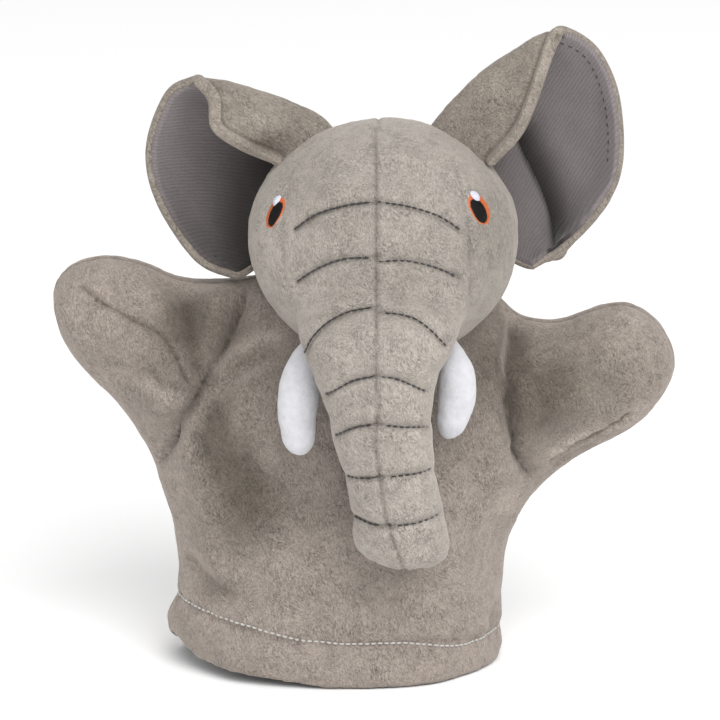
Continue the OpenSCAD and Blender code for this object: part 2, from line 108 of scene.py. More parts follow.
def noise(p, size, seed):
    """Smooth value noise from -1 to 1 at points p, with lumps about as wide as size."""
    q = p / size
    cell = np.floor(q).astype(np.int64)
    f = q - cell
    u = f * f * f * (f * (f * 6 - 15) + 10)
    total = np.zeros(len(p))
    for corner in range(8):
        o = np.array([corner & 1, corner >> 1 & 1, corner >> 2 & 1])
        c = cell + o
        n = (c[:, 0] * 73856093) ^ (c[:, 1] * 19349663) ^ (c[:, 2] * 83492791) ^ (seed * 2654435761)
        n &= 0xFFFFFFFF
        n = ((n ^ (n >> 13)) * 1274126177) & 0xFFFFFFFF
        value = ((n ^ (n >> 16)) & 0xFFFF) / 32767.5 - 1
        total += value * np.prod(np.where(o == 1, u, 1 - u), axis=1)
    return total


def grid_axes(low, high, step):
    return [np.arange(a, b + step, step, dtype=np.float32) for a, b in zip(low, high)]


def distance(f, step):
    """A field's rough distance to its own zero level."""
    g = np.gradient(f, step)
    return np.clip(f / np.maximum(np.sqrt(g[0] ** 2 + g[1] ** 2 + g[2] ** 2), 1e-6), -30, 30)


def surface(field, low, step):
    """Points and quads of the field's zero level."""
    grid = openvdb.FloatGrid(30.0)
    grid.copyFromArray(np.ascontiguousarray(field, dtype=np.float32))
    grid.transform = openvdb.createLinearTransform(voxelSize=step)
    points, quads = grid.convertToQuads(0.0)
    return points.astype(float) + np.array(low), quads[:, ::-1].astype(np.int64)


def relax(points, faces):
    """Evens out the mesh's spacing a little."""
    total, count = np.zeros_like(points), np.zeros(len(points))
    for k in range(4):
        a, b = faces[:, k], faces[:, (k + 1) % 4]
        for s, e in ((a, b), (b, a)):
            total += np.stack([np.bincount(s, points[e, c], len(points)) for c in range(3)], 1)
            count += np.bincount(s, minlength=len(points))
    return 0.5 * points + 0.5 * total / count[:, None]


def vertex_normals(points, faces):
    a, b = points[faces[:, 2]] - points[faces[:, 0]], points[faces[:, -1]] - points[faces[:, 1]]
    n = np.cross(a, b)
    total = np.zeros_like(points)
    for k in range(faces.shape[1]):
        total += np.stack([np.bincount(faces[:, k], n[:, c], len(points)) for c in range(3)], 1)
    return unit(total)


def skin(field, low, step, outward):
    """A field's zero level as an even mesh. outward gives the rough way out at its points."""
    points, faces = surface(field, low, step)
    points = relax(points, faces)
    normals = vertex_normals(points, faces)
    if np.sum(normals * outward(points)) < 0:
        faces, normals = faces[:, ::-1], -normals
    return points, faces, normals


def sample(field, low, step, p):
    """The field's value at points p."""
    q = np.clip((p - np.array(low)) / step, 0, np.array(field.shape) - 1.001)
    i = q.astype(int)
    f = q - i
    total = np.zeros(len(p))
    for c in range(8):
        o = np.array([c & 1, c >> 1 & 1, c >> 2 & 1])
        k = i + o
        total += field[k[:, 0], k[:, 1], k[:, 2]] * np.prod(np.where(o == 1, f, 1 - f), axis=1)
    return total


def near_line(p, line):
    """Distance from points p to a polyline."""
    best = np.full(len(p), 1e9)
    for a, b in zip(line[:-1], line[1:]):
        d = b - a
        t = np.clip(((p - a) @ d) / (d @ d), 0, 1)
        best = np.fmin(best, np.linalg.norm(p - a - t[:, None] * d, axis=1))
    return best


def near_flat(x, z, line, step=3):
    """Distance in the x-z plane to a smooth line, the share of its length there, and the side of it."""
    best, where, side = np.full(len(x), 1e9), np.zeros(len(x)), np.ones(len(x))
    line = resample(line, step)
    lengths = np.linalg.norm(np.diff(line, axis=0), axis=1)
    before = np.concatenate([[0], np.cumsum(lengths)])
    for i in range(len(line) - 1):
        dx, dz = line[i + 1] - line[i]
        t = np.clip(((x - line[i, 0]) * dx + (z - line[i, 1]) * dz) / lengths[i] ** 2, 0, 1)
        ox, oz = x - line[i, 0] - t * dx, z - line[i, 1] - t * dz
        r = np.hypot(ox, oz)
        closer = r < best
        best[closer] = r[closer]
        where[closer] = (before[i] + t * lengths[i])[closer] / before[-1]
        side[closer] = np.sign(dx * oz - dz * ox)[closer]
    return best, where, side


def taper(t, a=0.15, b=0.15):
    """Fades in and out over the first and last share of a line."""
    return smoothstep(0, a, t) * (1 - smoothstep(1 - b, 1, t))


def resample(line, step):
    """Evenly spaced points along a smooth line through the given points."""
    line = np.asarray(line, float)
    t = np.concatenate([[0], np.cumsum(np.linalg.norm(np.diff(line, axis=0), axis=1))])
    fine = np.linspace(0, t[-1], 40 * len(line))
    dense = np.stack([curve(t, line[:, c], fine) for c in range(line.shape[1])], 1)
    s = np.concatenate([[0], np.cumsum(np.linalg.norm(np.diff(dense, axis=0), axis=1))])
    at = np.linspace(0, s[-1], max(2, int(round(s[-1] / step)) + 1))
    return np.stack([np.interp(at, s, dense[:, c]) for c in range(line.shape[1])], 1)


# --- Meshes ---------------------------------------------------------------------------------------


def make_object(name, points, faces, materials, normals=None, values=None, face_material=None):
    """A smooth mesh object from points in millimetres. values are extra numbers kept at each point."""
    mesh = bpy.data.meshes.new(name)
    size = faces.shape[1]
    mesh.vertices.add(len(points))
    mesh.vertices.foreach_set("co", (points * MM).astype(np.float32).ravel())
    mesh.loops.add(len(faces) * size)
    mesh.loops.foreach_set("vertex_index", faces.astype(np.int32).ravel())
    mesh.polygons.add(len(faces))
    mesh.polygons.foreach_set("loop_start", np.arange(0, len(faces) * size, size, dtype=np.int32))
    mesh.update(calc_edges=True)
    mesh.shade_smooth()
    for m in materials:
        mesh.materials.append(m)
    if face_material is not None:
        mesh.polygons.foreach_set("material_index", face_material.astype(np.int32))
    rest = mesh.attributes.new("rest", "FLOAT_VECTOR", "POINT")
    rest.data.foreach_set("vector", points.astype(np.float32).ravel())
    for key, value in (values or {}).items():
        mesh.attributes.new(key, "FLOAT", "POINT").data.foreach_set("value", value.astype(np.float32))
    if normals is not None:
        mesh.normals_split_custom_set_from_vertices(normals.tolist())
    obj = bpy.data.objects.new(name, mesh)
    bpy.context.scene.collection.objects.link(obj)
    return obj


def part_of(points, faces, keep, *arrays):
    """The chosen faces, with the points and arrays they use."""
    chosen = faces[keep]
    used, index = np.unique(chosen, return_inverse=True)
    return (points[used], index.reshape(chosen.shape), *[a[used] for a in arrays])


def grid_faces(rows, cols, wrap=False):
    """Quads between a grid's points. wrap joins the last column to the first."""
    i, k = np.meshgrid(np.arange(rows - 1), np.arange(cols if wrap else cols - 1), indexing="ij")
    k1 = (k + 1) % cols
    return np.stack([i * cols + k, i * cols + k1, (i + 1) * cols + k1, (i + 1) * cols + k], -1).reshape(-1, 4)


# --- Glove: two flat panels sewn at their edge and puffed out -------------------------------------

# The panels' outline from the hem round the -X arm, neck and +X arm, as x and z
OUTLINE = [
    (-66, -60), (-66.4, 8), (-66.4, 16), (-64, 25.5), (-63.8, 41), (-65, 54), (-69, 67), (-73, 78),
    (-79, 88.5), (-86, 98), (-94.5, 107), (-101.5, 115), (-107, 123.5), (-110, 134), (-109, 145),
    (-103, 152), (-92, 155.2), (-77, 152.6), (-63, 148.5), (-50, 146.5), (-38, 147), (-26, 150), (-16, 157),
    (-10, 175), (38, 175), (44, 157), (52, 148), (59, 140), (65, 134), (75, 130.5), (84, 131), (93, 134),
    (105, 136.5), (115, 131), (122, 121), (124, 112), (119, 100), (109, 89), (96, 81.5), (83.5, 74),
    (75, 67), (69, 61), (65, 54), (61.6, 46), (59.8, 32), (59, 18), (59, 8), (59, -60),
]
ARM_LIFT = 1.5  # how far the finished arms sit above that outline
OUTLINE = [(x, z + ARM_LIFT * float(smoothstep(62, 76, abs(x)))) for x, z in OUTLINE]
# Half depth of the puffed glove's middle, by height
DEPTHS = [
    (-60, 43.5), (0, 43.5), (16, 41.5), (34, 38.5), (60, 36.5), (90, 33), (110, 30), (124, 26), (140, 22),
    (175, 18),
]
GLOVE_STEP = 0.95


def outline_distance(x, z, outline):
    """Signed distance to a closed outline, negative inside."""
    best = np.full(x.shape, 1e9)
    inside = np.zeros(x.shape, bool)
    for (x0, z0), (x1, z1) in zip(outline, outline[1:] + outline[:1]):
        dx, dz = x1 - x0, z1 - z0
        t = np.clip(((x - x0) * dx + (z - z0) * dz) / (dx * dx + dz * dz), 0, 1)
        best = np.minimum(best, np.hypot(x - x0 - t * dx, z - z0 - t * dz))
        if z0 != z1:
            inside ^= ((z0 > z) != (z1 > z)) & (x < (x1 - x0) * (z - z0) / (z1 - z0) + x0)
    return np.where(inside, -best, best)


PUFF_START, PUFF_ROUNDS = 400, 2500  # a high first guess, then enough rounds to settle


def puff(inside, step):
    """Height of a sheet held at the outline and blown up from below."""
    h = np.zeros(inside.shape)
    h[inside] = PUFF_START
    for _ in range(PUFF_ROUNDS):
        h[1:-1, 1:-1] = np.where(
            inside[1:-1, 1:-1],
            0.25 * (h[2:, 1:-1] + h[:-2, 1:-1] + h[1:-1, 2:] + h[1:-1, :-2] + step * step), 0)
    return h


ARM_PUFF = 1.04  # how round the arms are blown up


def glove_field(low, high, step):
    """Distance to the puffed glove on a grid of points, and the grid's axes."""
    x, y, z = grid_axes(low, high, step)
    coarse = 2.3
    px, pz = np.arange(-118, 134, coarse), np.arange(-60, 178, coarse)
    gx, gz = np.meshgrid(px, pz, indexing="ij")
    outline = [tuple(p) for p in resample(OUTLINE, 4)]
    sd = outline_distance(gx, gz, outline)
    phi = puff(sd < coarse, coarse)
    middle = np.array([np.interp(2, px, phi[:, j]) for j in range(len(pz))])
    depth = curve(*zip(*DEPTHS), pz)
    torso = depth**2 / np.maximum(middle, 1)
    w = smoothstep(38, 88, np.abs(gx + 2))
    shape = phi * (torso[None, :] * (1 - w) + ARM_PUFF * w)
    rim = -sd * (52 * (1 - w) + 27 * w)
    shape = np.where(sd < 0, smooth_min(shape, rim, 30), rim)

    def at(a, b, table):
        i = np.clip((a - px[0]) / coarse, 0, len(px) - 1.001)
        j = np.clip((b - pz[0]) / coarse, 0, len(pz) - 1.001)
        i0, j0 = i.astype(int), j.astype(int)
        fi, fj = (i - i0)[:, None], (j - j0)[None, :]
        t00 = table[np.ix_(i0, j0)]
        t10, t01, t11 = table[np.ix_(i0 + 1, j0)], table[np.ix_(i0, j0 + 1)], table[np.ix_(i0 + 1, j0 + 1)]
        return (t00 * (1 - fi) + t10 * fi) * (1 - fj) + (t01 * (1 - fi) + t11 * fi) * fj

    flat = at(x, z, shape)
    f = (y[None, :, None] ** 2 - flat[:, None, :]).astype(np.float32)
    return distance(f, step), (x, y, z)


# Soft folds of the glove's front: line as x and z, depth, width, height of the ridge beside it and its side
FOLDS = [
    ([(-36, 152), (-37.6, 144), (-41.3, 134), (-46, 124), (-51, 116.5), (-55.6, 108), (-61.6, 98.5),
      (-66.5, 86.5), (-70, 76)], 4.0, 4.2, 2.2, -1),
    ([(-60, 152), (-58.6, 143.6), (-57.8, 135), (-56, 124), (-54.5, 114)], 5.0, 5.0, 0.8, -1),
    ([(-92, 110.5), (-82, 114.5), (-74, 115.5), (-64, 112.5), (-57, 107)], 1.5, 4.5, 1.2, -1),
    ([(-19, 124), (-36, 119.5), (-46, 110), (-52.5, 97), (-54.4, 80)], 2.8, 4.5, 2.0, 1),
    ([(63, 144), (65, 136), (63.5, 127), (61.5, 118), (60.5, 107), (61.5, 98), (64.5, 88), (67.5, 78),
      (69, 71)], 4.8, 3.4, 0.8, -1),
    ([(59, 136), (66, 140.5), (74, 141)], 1.4, 3.0, 0.5, 1),
    ([(96, 84), (86, 81), (78, 75)], 2.6, 3.6, 0.9, 1),
    ([(66, 124), (72, 114), (76, 104)], 1.0, 5.5, 0.4, 1),
    ([(-62, 44), (-55, 38.5), (-47, 34), (-40, 31)], 2.6, 4.0, 1.2, 1),
    ([(-39, 30), (-22, 34), (-6, 32)], 1.2, 6.0, 0.4, 1),
    ([(12, 28), (10, 16), (12, 4)], 1.0, 5.0, 0.2, 1),
    ([(56, 22), (57, 12), (58, 3)], 1.6, 3.0, 0.6, 1),
    ([(58, 62), (56, 48), (57, 34)], 1.2, 5.0, 0.8, 1),
]
# Sewn seams of the glove's front, as x and z: narrow grooves with the pile caught in them
SEAMS = [
    [(-36, 150), (-37.6, 144), (-41.3, 134), (-46, 124), (-51, 116.5), (-55.6, 108), (-61.6, 98.5),
     (-66.5, 86.5), (-70, 77)],
    [(-101, 149), (-97, 146.8), (-90.4, 142.3), (-83.3, 139), (-76, 135.4), (-68.3, 131.2), (-64, 125.3),
     (-59.8, 116.7), (-56, 110)],
    [(58.8, 110), (59.6, 104), (62.5, 93), (66.5, 82), (70, 74)],
    [(105, 140.5), (111, 137), (116, 131.5), (120, 125), (122, 118)],
    [(76, 79), (86, 86), (97, 92.5), (108, 100)],
]
ARMS = {
    "right": {"pivot": np.array([-48, 1, 106.0]), "axis": np.array([-0.891, 0, 0.454])},
    "left": {"pivot": np.array([51, 1, 96.0]), "axis": np.array([0.978, 0, 0.208])},
}
HEM_X, HEM_HALF_WIDTH, HEM_HALF_DEPTH = -2, 62, 41  # the glove's middle and half size at the hem
HEM_STITCH = 1.6  # width of the groove that the hem's topstitch pulls in
# Broad hollows of the glove's front: x, z, reach across and up, depth
DENTS = [
    (-36, 74, 15, 16, 4.5), (-49, 96, 7, 12, 2.0), (-58, 139, 7, 10, 2.0), (52, 100, 8, 20, 1.5),
    (66, 104, 8, 16, 1.5), (14, 34, 12, 12, 1.2),
]
# Patches of painted shade on the glove's front, painted light where the strength is below zero: x, z, reach
# across and up, strength
GLOVE_SHADING = [
    (-49, 96, 8, 18, 0.95), (-38, 76, 15, 20, 0.95), (-20, 66, 15, 12, 0.36), (-60, 138, 10, 14, 1.0),
    (-42, 130, 14, 18, 0.75), (-66, 112, 14, 16, 0.44), (-26, 124, 12, 12, 0.38), (-80, 124, 16, 12, 0.22),
    (-30, 104, 12, 12, 0.12), (62, 122, 6, 20, 1.0), (50, 122, 9, 18, 0.70), (73, 107, 14, 24, 0.92),
    (94, 112, 19, 17, 0.46), (112, 116, 12, 16, 0.14), (80, 86, 9, 7, -0.42), (40, 4, 16, 8, -0.25),
    (-42, 58, 12, 14, 0.32), (-50, 34, 9, 4, 0.35), (10, 32, 10, 12, 0.06),
]
# Ridges where the pile catches the light, as x and z, with half width and strength
LIGHTS = [
    ([(-94, 113), (-79, 115), (-67, 110), (-57, 104)], 3.0, 0.50),
    ([(-19, 133.5), (-33, 129), (-44, 123), (-51, 115)], 3.2, 0.55),
    ([(-20, 124.5), (-33, 119), (-45, 112.5), (-52.5, 103), (-56.5, 91)], 2.8, 0.45),
    ([(77, 80), (79.5, 86), (86, 89.5), (96, 92), (107, 96.5), (116, 103)], 3.0, 0.50),
    ([(62, 74), (59, 60)], 5.0, 0.35),
    ([(-61, 20), (-59, 50)], 3.5, 0.30),
    ([(-33, 84), (-24, 88)], 7.0, 0.35),
]


def hem_line(x):
    """Height of the hem's topstitch at x."""
    return curve((-64, -58, -49, -38, -27, -15, -3, 14, 32, 44, 50, 62),
                 (25.8, 24.8, 23.2, 21.0, 18.8, 18.2, 17.5, 17.0, 17.0, 14.8, 13.2, 12.5), x)


def hem_lift(x, y):
    """How far the hem's lower edge hangs clear of the table at x, y."""
    front = curve((-68, -62, -57, -50, -39, -28, -18, -8, 2), (15, 10, 6.0, 4.6, 3.6, 2.8, 1.7, 0.5, 0), x)
    return front * (1 - smoothstep(-14, 26, y))


def pile(p, seed):
    """Small lumps of the pile, in millimetres."""
    q = p @ np.array([[0.91, 0, 0.42], [0, 1, 0], [-0.42, 0, 0.91]]).T * [1, 1, 0.45]
    return 0.13 * noise(q, 1.7, seed + 5) + 0.10 * noise(q, 3.1, seed + 6) + 0.10 * noise(p, 5.5, seed + 7)


GLOVE_TOP = 163  # inside the head, where the glove's cloth ends
low = (-117, -50, -4)
glove, axes = glove_field(low, (130, 50, 172), GLOVE_STEP)
shell = np.maximum(glove, -(glove + CLOTH))
gx, gy, gz = np.meshgrid(*axes, indexing="ij")
shell = smooth_max(shell, hem_lift(gx, gy) - gz, 2.0)
shell = np.maximum(shell, gz - GLOVE_TOP)
points, faces, normals = skin(shell, low, GLOVE_STEP, lambda p: np.sign(p) * (np.abs(p) > 30) * [0, 1, 0])
depth_in = sample(glove, low, GLOVE_STEP, points)
outer = smoothstep(-CLOTH * 0.75, -CLOTH * 0.35, depth_in)
outward = unit(np.stack([
    sample(glove, low, GLOVE_STEP, points + d) - sample(glove, low, GLOVE_STEP, points - d)
    for d in 2.0 * np.eye(3)], 1))
x, y, z = points.T
front = 1 - smoothstep(-13, -2, y)
# bend shifts both faces of the cloth and move only its outer face; the third array is painted shade, darker
# colour in the folds, the hem and the seams, where it is partly the seams' dark thread
bend = np.zeros(len(points))
painted_shade = np.zeros(len(points))
for line, deep, wide, lip, lip_side in FOLDS:
    r, t, side = near_flat(x, z, line)
    fade = taper(t) * front
    bend -= deep * bell(r, wide) * fade
    bend += lip * bell(r - 2.2 * wide, 1.3 * wide) * fade * (side * lip_side > 0)
    # Painted shade along the fold's line
    painted_shade = np.maximum(painted_shade, 0.55 * bell(r, 0.45 * wide) * fade * min(1, deep / 4.5))
bristle = noise(points, 1.7, 77)
for line in SEAMS:
    r, t, side = near_flat(x, z, line, 2)
    r = r + 0.35 * bristle
    fade = taper(t, 0.08, 0.08) * front
    bend -= 1.3 * bell(r, 1.1) * fade
    bend += 0.6 * bell(r - 2.6, 1.5) * (1 + bristle) * fade
    # Each seam's line is painted dark: partly its dark thread, partly painted shade in its groove
    broken = 0.55 + 0.45 * smoothstep(-0.4, 0.5, noise(points, 4, 78))
    painted_shade = np.maximum(painted_shade, 1.25 * bell(r, 0.8) * fade * broken)
bend -= patches(x, z, DENTS) * (1 - smoothstep(-20, 0, y))
bend += 0.9 * noise(points, 34, 3) + 0.3 * noise(points, 15, 4)
above_hem = z - hem_line(x)
move = np.zeros(len(points))
move += 1.1 * smoothstep(0, 7, z - hem_lift(x, y)) * (1 - smoothstep(-9, -0.6, above_hem))
move -= 0.7 * bell(above_hem, HEM_STITCH)
move += 0.5 * bell(above_hem - 4, 3)
angle = np.arctan2(y / HEM_HALF_DEPTH, (x - HEM_X) / HEM_HALF_WIDTH)
move += 0.35 * np.sin(angle * 34 + 2 * np.sin(angle * 5)) * bell(above_hem, 5)
# Painted shade in the hem's topstitch groove
painted_shade = np.maximum(painted_shade, 0.35 * bell(above_hem, 0.8))
edge = (np.abs(normals[:, 1]) < 0.6) & (z > 20)
seam = bell(y + 1.5, 1.0) * edge
move -= 0.6 * seam
# Painted shade in the side seam's groove
painted_shade = np.maximum(painted_shade, 0.7 * seam)
# Painted shade from the patches, less painted highlights along the ridges below
shade_and_light = patches(x, z, GLOVE_SHADING) * front
for line, wide, bright in LIGHTS:
    r, t, side = near_flat(x, z, line)
    shade_and_light = shade_and_light - bright * bell(r, wide) * taper(t) * front
move += 0.12 * noise(points, 7, 9) + pile(points, 20)
points = points + outward * bend[:, None] + normals * (move * outer)[:, None]
points[:, 2] = np.maximum(points[:, 2], 0.05)
normals = vertex_normals(points, faces)


# --- Materials ------------------------------------------------------------------------------------


def material(name):
    """A new material, short calls for its nodes, and its shader."""
    m = bpy.data.materials.new(name)
    m.use_nodes = True
    return m, Nodes(m.node_tree), m.node_tree.nodes["Principled BSDF"]


class Nodes:
    """Short calls that add nodes to a material."""

    def __init__(self, tree):
        self.tree = tree

    def add(self, kind, **settings):
        node = self.tree.nodes.new(kind)
        for key, value in settings.items():
            setattr(node, key, value)
        return node

    def link(self, source, target):
        if isinstance(source, (int, float, tuple)):
            target.default_value = source
        else:
            self.tree.links.new(source, target)

    def attribute(self, name, output="Fac"):
        return self.add("ShaderNodeAttribute", attribute_name=name).outputs[output]

    def rest(self):
        """The place on the unmoved piece, in millimetres, so that the pattern rides along."""
        return self.attribute("rest", "Vector")

    def math(self, operation, a, b=0.0, clamp=False):
        node = self.add("ShaderNodeMath", operation=operation, use_clamp=clamp)
        self.link(a, node.inputs[0])
        self.link(b, node.inputs[1])
        return node.outputs[0]

    def vector(self, operation, a, b=(0, 0, 0)):
        node = self.add("ShaderNodeVectorMath", operation=operation)
        self.link(a, node.inputs[0])
        if operation == "SCALE":
            self.link(b, node.inputs["Scale"])
        else:
            self.link(b, node.inputs[1])
        return node.outputs[0]

    def noise(self, where, scale, detail=2.0, roughness=0.5, distortion=0.0, output=0):
        node = self.add("ShaderNodeTexNoise")
        inputs = {"Vector": where, "Scale": scale, "Detail": detail, "Roughness": roughness,
                  "Distortion": distortion}
        for key, value in inputs.items():
            self.link(value, node.inputs[key])
        return node.outputs[output]

    def wave(self, where, direction, scale, distortion):
        node = self.add("ShaderNodeTexWave", wave_type="BANDS", bands_direction=direction)
        for key, value in {"Vector": where, "Scale": scale, "Distortion": distortion}.items():
            self.link(value, node.inputs[key])
        return node.outputs["Fac"]

    def weighted(self, *pairs):
        """Sum of values, each times its weight."""
        total = self.math("MULTIPLY", *pairs[0])
        for value, weight in pairs[1:]:
            total = self.math("ADD", total, self.math("MULTIPLY", value, weight))
        return total

    def ramp(self, value, stops):
        node = self.add("ShaderNodeValToRGB")
        self.link(value, node.inputs[0])
        elements = node.color_ramp.elements
        for element, (place, colour) in zip(elements, (stops[0], stops[-1])):
            element.position, element.color = place, (*colour, 1)
        for place, colour in stops[1:-1]:
            elements.new(place).color = (*colour, 1)
        return node.outputs[0]

    def mix(self, factor, a, b, blend="MIX"):
        node = self.add("ShaderNodeMix", data_type="RGBA", blend_type=blend)
        self.link(factor, node.inputs[0])
        self.link((*a, 1) if isinstance(a, tuple) else a, node.inputs[6])
        self.link((*b, 1) if isinstance(b, tuple) else b, node.inputs[7])
        return node.outputs[2]

    def tint(self, amount, base, colour):
        """base, multiplied by colour as far as amount says, from 0 to 1."""
        return self.mix(amount, base, self.mix(1.0, base, colour, "MULTIPLY"))

    def bump(self, height, distance_mm, strength=1.0, after=None):
        node = self.add("ShaderNodeBump")
        self.link(height, node.inputs["Height"])
        node.inputs["Distance"].default_value = distance_mm * MM
        node.inputs["Strength"].default_value = strength
        if after is not None:
            self.link(after, node.inputs["Normal"])
        return node.outputs[0]

    def cloth(self, shader, base, normal, roughness, specular=0.5, sheen=0.0):
        """Joins a fabric's colour and relief to the shader and sets its gloss and sheen."""
        inputs = {"Base Color": base, "Normal": normal, "Roughness": roughness,
                  "Specular IOR Level": specular, "Sheen Weight": sheen}
        for key, value in inputs.items():
            self.link(value, shader.inputs[key])


def shade(colour, factor):
    return tuple(c * factor for c in colour)


def plush(name, colour, tilt, seed, contrast):
    """Short dense pile: combed streaks, tufts, crinkles and mottled patches, with painted shade and painted
    light, and a painted sheen that turns it paler where seen edge-on.
    """
    m, n, shader = material(name)
    place = n.vector("ADD", n.rest(), (seed, seed * 2, seed * 3))
    turn = n.add("ShaderNodeVectorRotate", rotation_type="Y_AXIS")
    n.link(place, turn.inputs["Vector"])
    turn.inputs["Angle"].default_value = math.radians(tilt)
    swirl = n.noise(place, 0.055, 1.0, output="Color")
    swirl = n.vector("SCALE", n.vector("SUBTRACT", swirl, (0.5, 0.5, 0.5)), 9.0)
    bent = n.vector("ADD", turn.outputs[0], swirl)
    combed = n.vector("MULTIPLY", bent, (1, 1, 0.45))
    fibre = n.noise(combed, 2.7, 3, 0.65)
    streak = n.noise(combed, 1.35, 2, 0.55, 0.2)
    tuft = n.noise(place, 0.30)
    patch = n.noise(place, 0.045)
    wave = n.noise(n.vector("MULTIPLY", bent, (1, 1, 0.5)), 0.62, 2, 0.5, 0.5)
    off_line = n.math("ABSOLUTE", n.math("SUBTRACT", wave, 0.5))
    line = n.math("SUBTRACT", 1.0, n.math("MULTIPLY", off_line, 26.0), True)
    ruffled = n.math("MULTIPLY", n.math("SUBTRACT", n.noise(place, 0.11), 0.42), 4.5, True)
    crinkle = n.math("MULTIPLY", line, ruffled)
    dark, pale = shade(colour, 1 - 0.50 * contrast), shade(colour, 1 + 0.42 * contrast)
    pile_mix = n.weighted((fibre, 0.50), (streak, 0.32), (tuft, 0.18))
    base = n.ramp(pile_mix, [(0.36, dark), (0.5, colour), (0.62, pale)])
    base = n.tint(n.math("MULTIPLY", patch, 0.6), base, (0.84, 0.83, 0.81))
    base = n.tint(n.math("MULTIPLY", crinkle, 0.55), base, (0.45, 0.44, 0.42))
    # Painted shade where the value is above zero, painted light where it is below
    shade_and_light = n.attribute("shade_and_light")
    base = n.tint(n.math("MULTIPLY", shade_and_light, 1.0, True), base, (0.43, 0.43, 0.40))
    base = n.tint(n.math("MULTIPLY", shade_and_light, -1.0, True), base, (1.45, 1.44, 1.42))
    # Painted shade from the mesh: darker along folds, seams and grooves
    base = n.tint(n.math("MULTIPLY", n.attribute("painted_shade"), 0.75, True), base, (0.36, 0.34, 0.33))
    # Painted sheen: paler colour where the surface is seen edge-on
    facing = n.add("ShaderNodeLayerWeight")
    facing.inputs["Blend"].default_value = 0.5
    rim = n.math("POWER", facing.outputs["Facing"], 3.0)
    base = n.mix(n.math("MULTIPLY", rim, 0.6), base, shade(colour, 1.55))
    relief = n.bump(streak, 0.8, 0.45, n.bump(tuft, 1.0, 0.25))
    relief = n.bump(n.math("SUBTRACT", 1.0, crinkle), 0.5, 0.6, relief)
    n.cloth(shader, base, n.bump(fibre, 0.45, 0.55, relief), 0.85, 0.12, 0.35)
    shader.inputs["Sheen Roughness"].default_value = 0.4
    shader.inputs["Sheen Tint"].default_value = (*[min(1, c * 1.5 + 0.2) for c in colour], 1)
    return m


def knit(name, colour):
    """The plain knitted back of the plush, seen inside the glove."""
    m, n, shader = material(name)
    loops = n.math("MULTIPLY", n.wave(n.rest(), "Z", 0.5, 2.0), n.noise(n.rest(), 1.6, 3))
    base = n.ramp(loops, [(0.05, shade(colour, 0.6)), (0.5, colour)])
    n.cloth(shader, base, n.bump(loops, 0.3, 0.6), 0.9, 0.1)
    return m


def thread(name, colour):
    """Twisted sewing thread."""
    m, n, shader = material(name)
    twist = n.wave(n.rest(), "DIAGONAL", 2.2, 0.6)
    worn = n.math("MULTIPLY", twist, n.noise(n.rest(), 3.0))
    base = n.ramp(worn, [(0.05, shade(colour, 0.55)), (0.5, colour)])
    n.cloth(shader, base, n.bump(twist, 0.15, 0.7), 0.6, sheen=0.3)
    return m


def felt(name, colour):
    """Pressed felt: short tangled fibres with soft clouds."""
    m, n, shader = material(name)
    fine = n.noise(n.rest(), 2.6, 4, 0.65, 1.2)
    wide = n.noise(n.rest(), 0.35)
    base = n.ramp(n.weighted((fine, 0.6), (wide, 0.4)), [(0.3, shade(colour, 0.80)), (0.6, colour)])
    n.cloth(shader, base, n.bump(fine, 0.5, 0.6, n.bump(wide, 1.0, 0.4)), 0.95, 0.15, 0.4)
    shader.inputs["Sheen Roughness"].default_value = 0.5
    return m


def ribbed(name, colour, pitch):
    """Fine-ribbed lining. The attribute rib runs across the ribs, in millimetres."""
    m, n, shader = material(name)
    jitter = n.math("MULTIPLY", n.math("SUBTRACT", n.noise(n.rest(), 0.5), 0.5), 0.7)
    phase = n.math("MULTIPLY", n.math("ADD", n.attribute("rib"), jitter), 2 * math.pi / pitch)
    rib = n.math("ADD", n.math("MULTIPLY", n.math("SINE", phase), 0.5), 0.5)
    grain = n.noise(n.rest(), 3.0, 3, 0.6)
    base = n.ramp(n.weighted((rib, 0.15), (grain, 0.85)),
                  [(0.25, shade(colour, 0.62)), (0.5, colour), (0.72, shade(colour, 1.35))])
    base = n.tint(n.noise(n.rest(), 0.08), base, (0.8, 0.79, 0.8))
    # Painted shade from the mesh: darker towards the head and along the valleys
    base = n.tint(n.math("MULTIPLY", n.attribute("painted_shade"), 1.0, True), base, (0.10, 0.09, 0.08))
    n.cloth(shader, base, n.bump(grain, 0.2, 0.5, n.bump(rib, 0.2, 0.4)), 0.8, 0.2, 0.3)
    return m


def satin(name, colour, gloss=0.4):
    """Satin-stitch embroidery. The attribute strand counts the threads."""
    m, n, shader = material(name)
    phase = n.math("MULTIPLY", n.attribute("strand"), 2 * math.pi)
    lit = n.math("ADD", n.math("MULTIPLY", n.math("SINE", phase), 0.5), 0.5)
    base = n.ramp(n.weighted((lit, 0.6), (n.noise(n.rest(), 2.0), 0.4)),
                  [(0.2, shade(colour, 0.45)), (0.6, colour), (0.9, shade(colour, 1.3))])
    n.cloth(shader, base, n.bump(lit, 0.15, 0.6), 0.45, gloss)
    return m


glove_plush = plush("glove_plush", (0.280, 0.242, 0.214), tilt=24.0, seed=3.0, contrast=0.8)
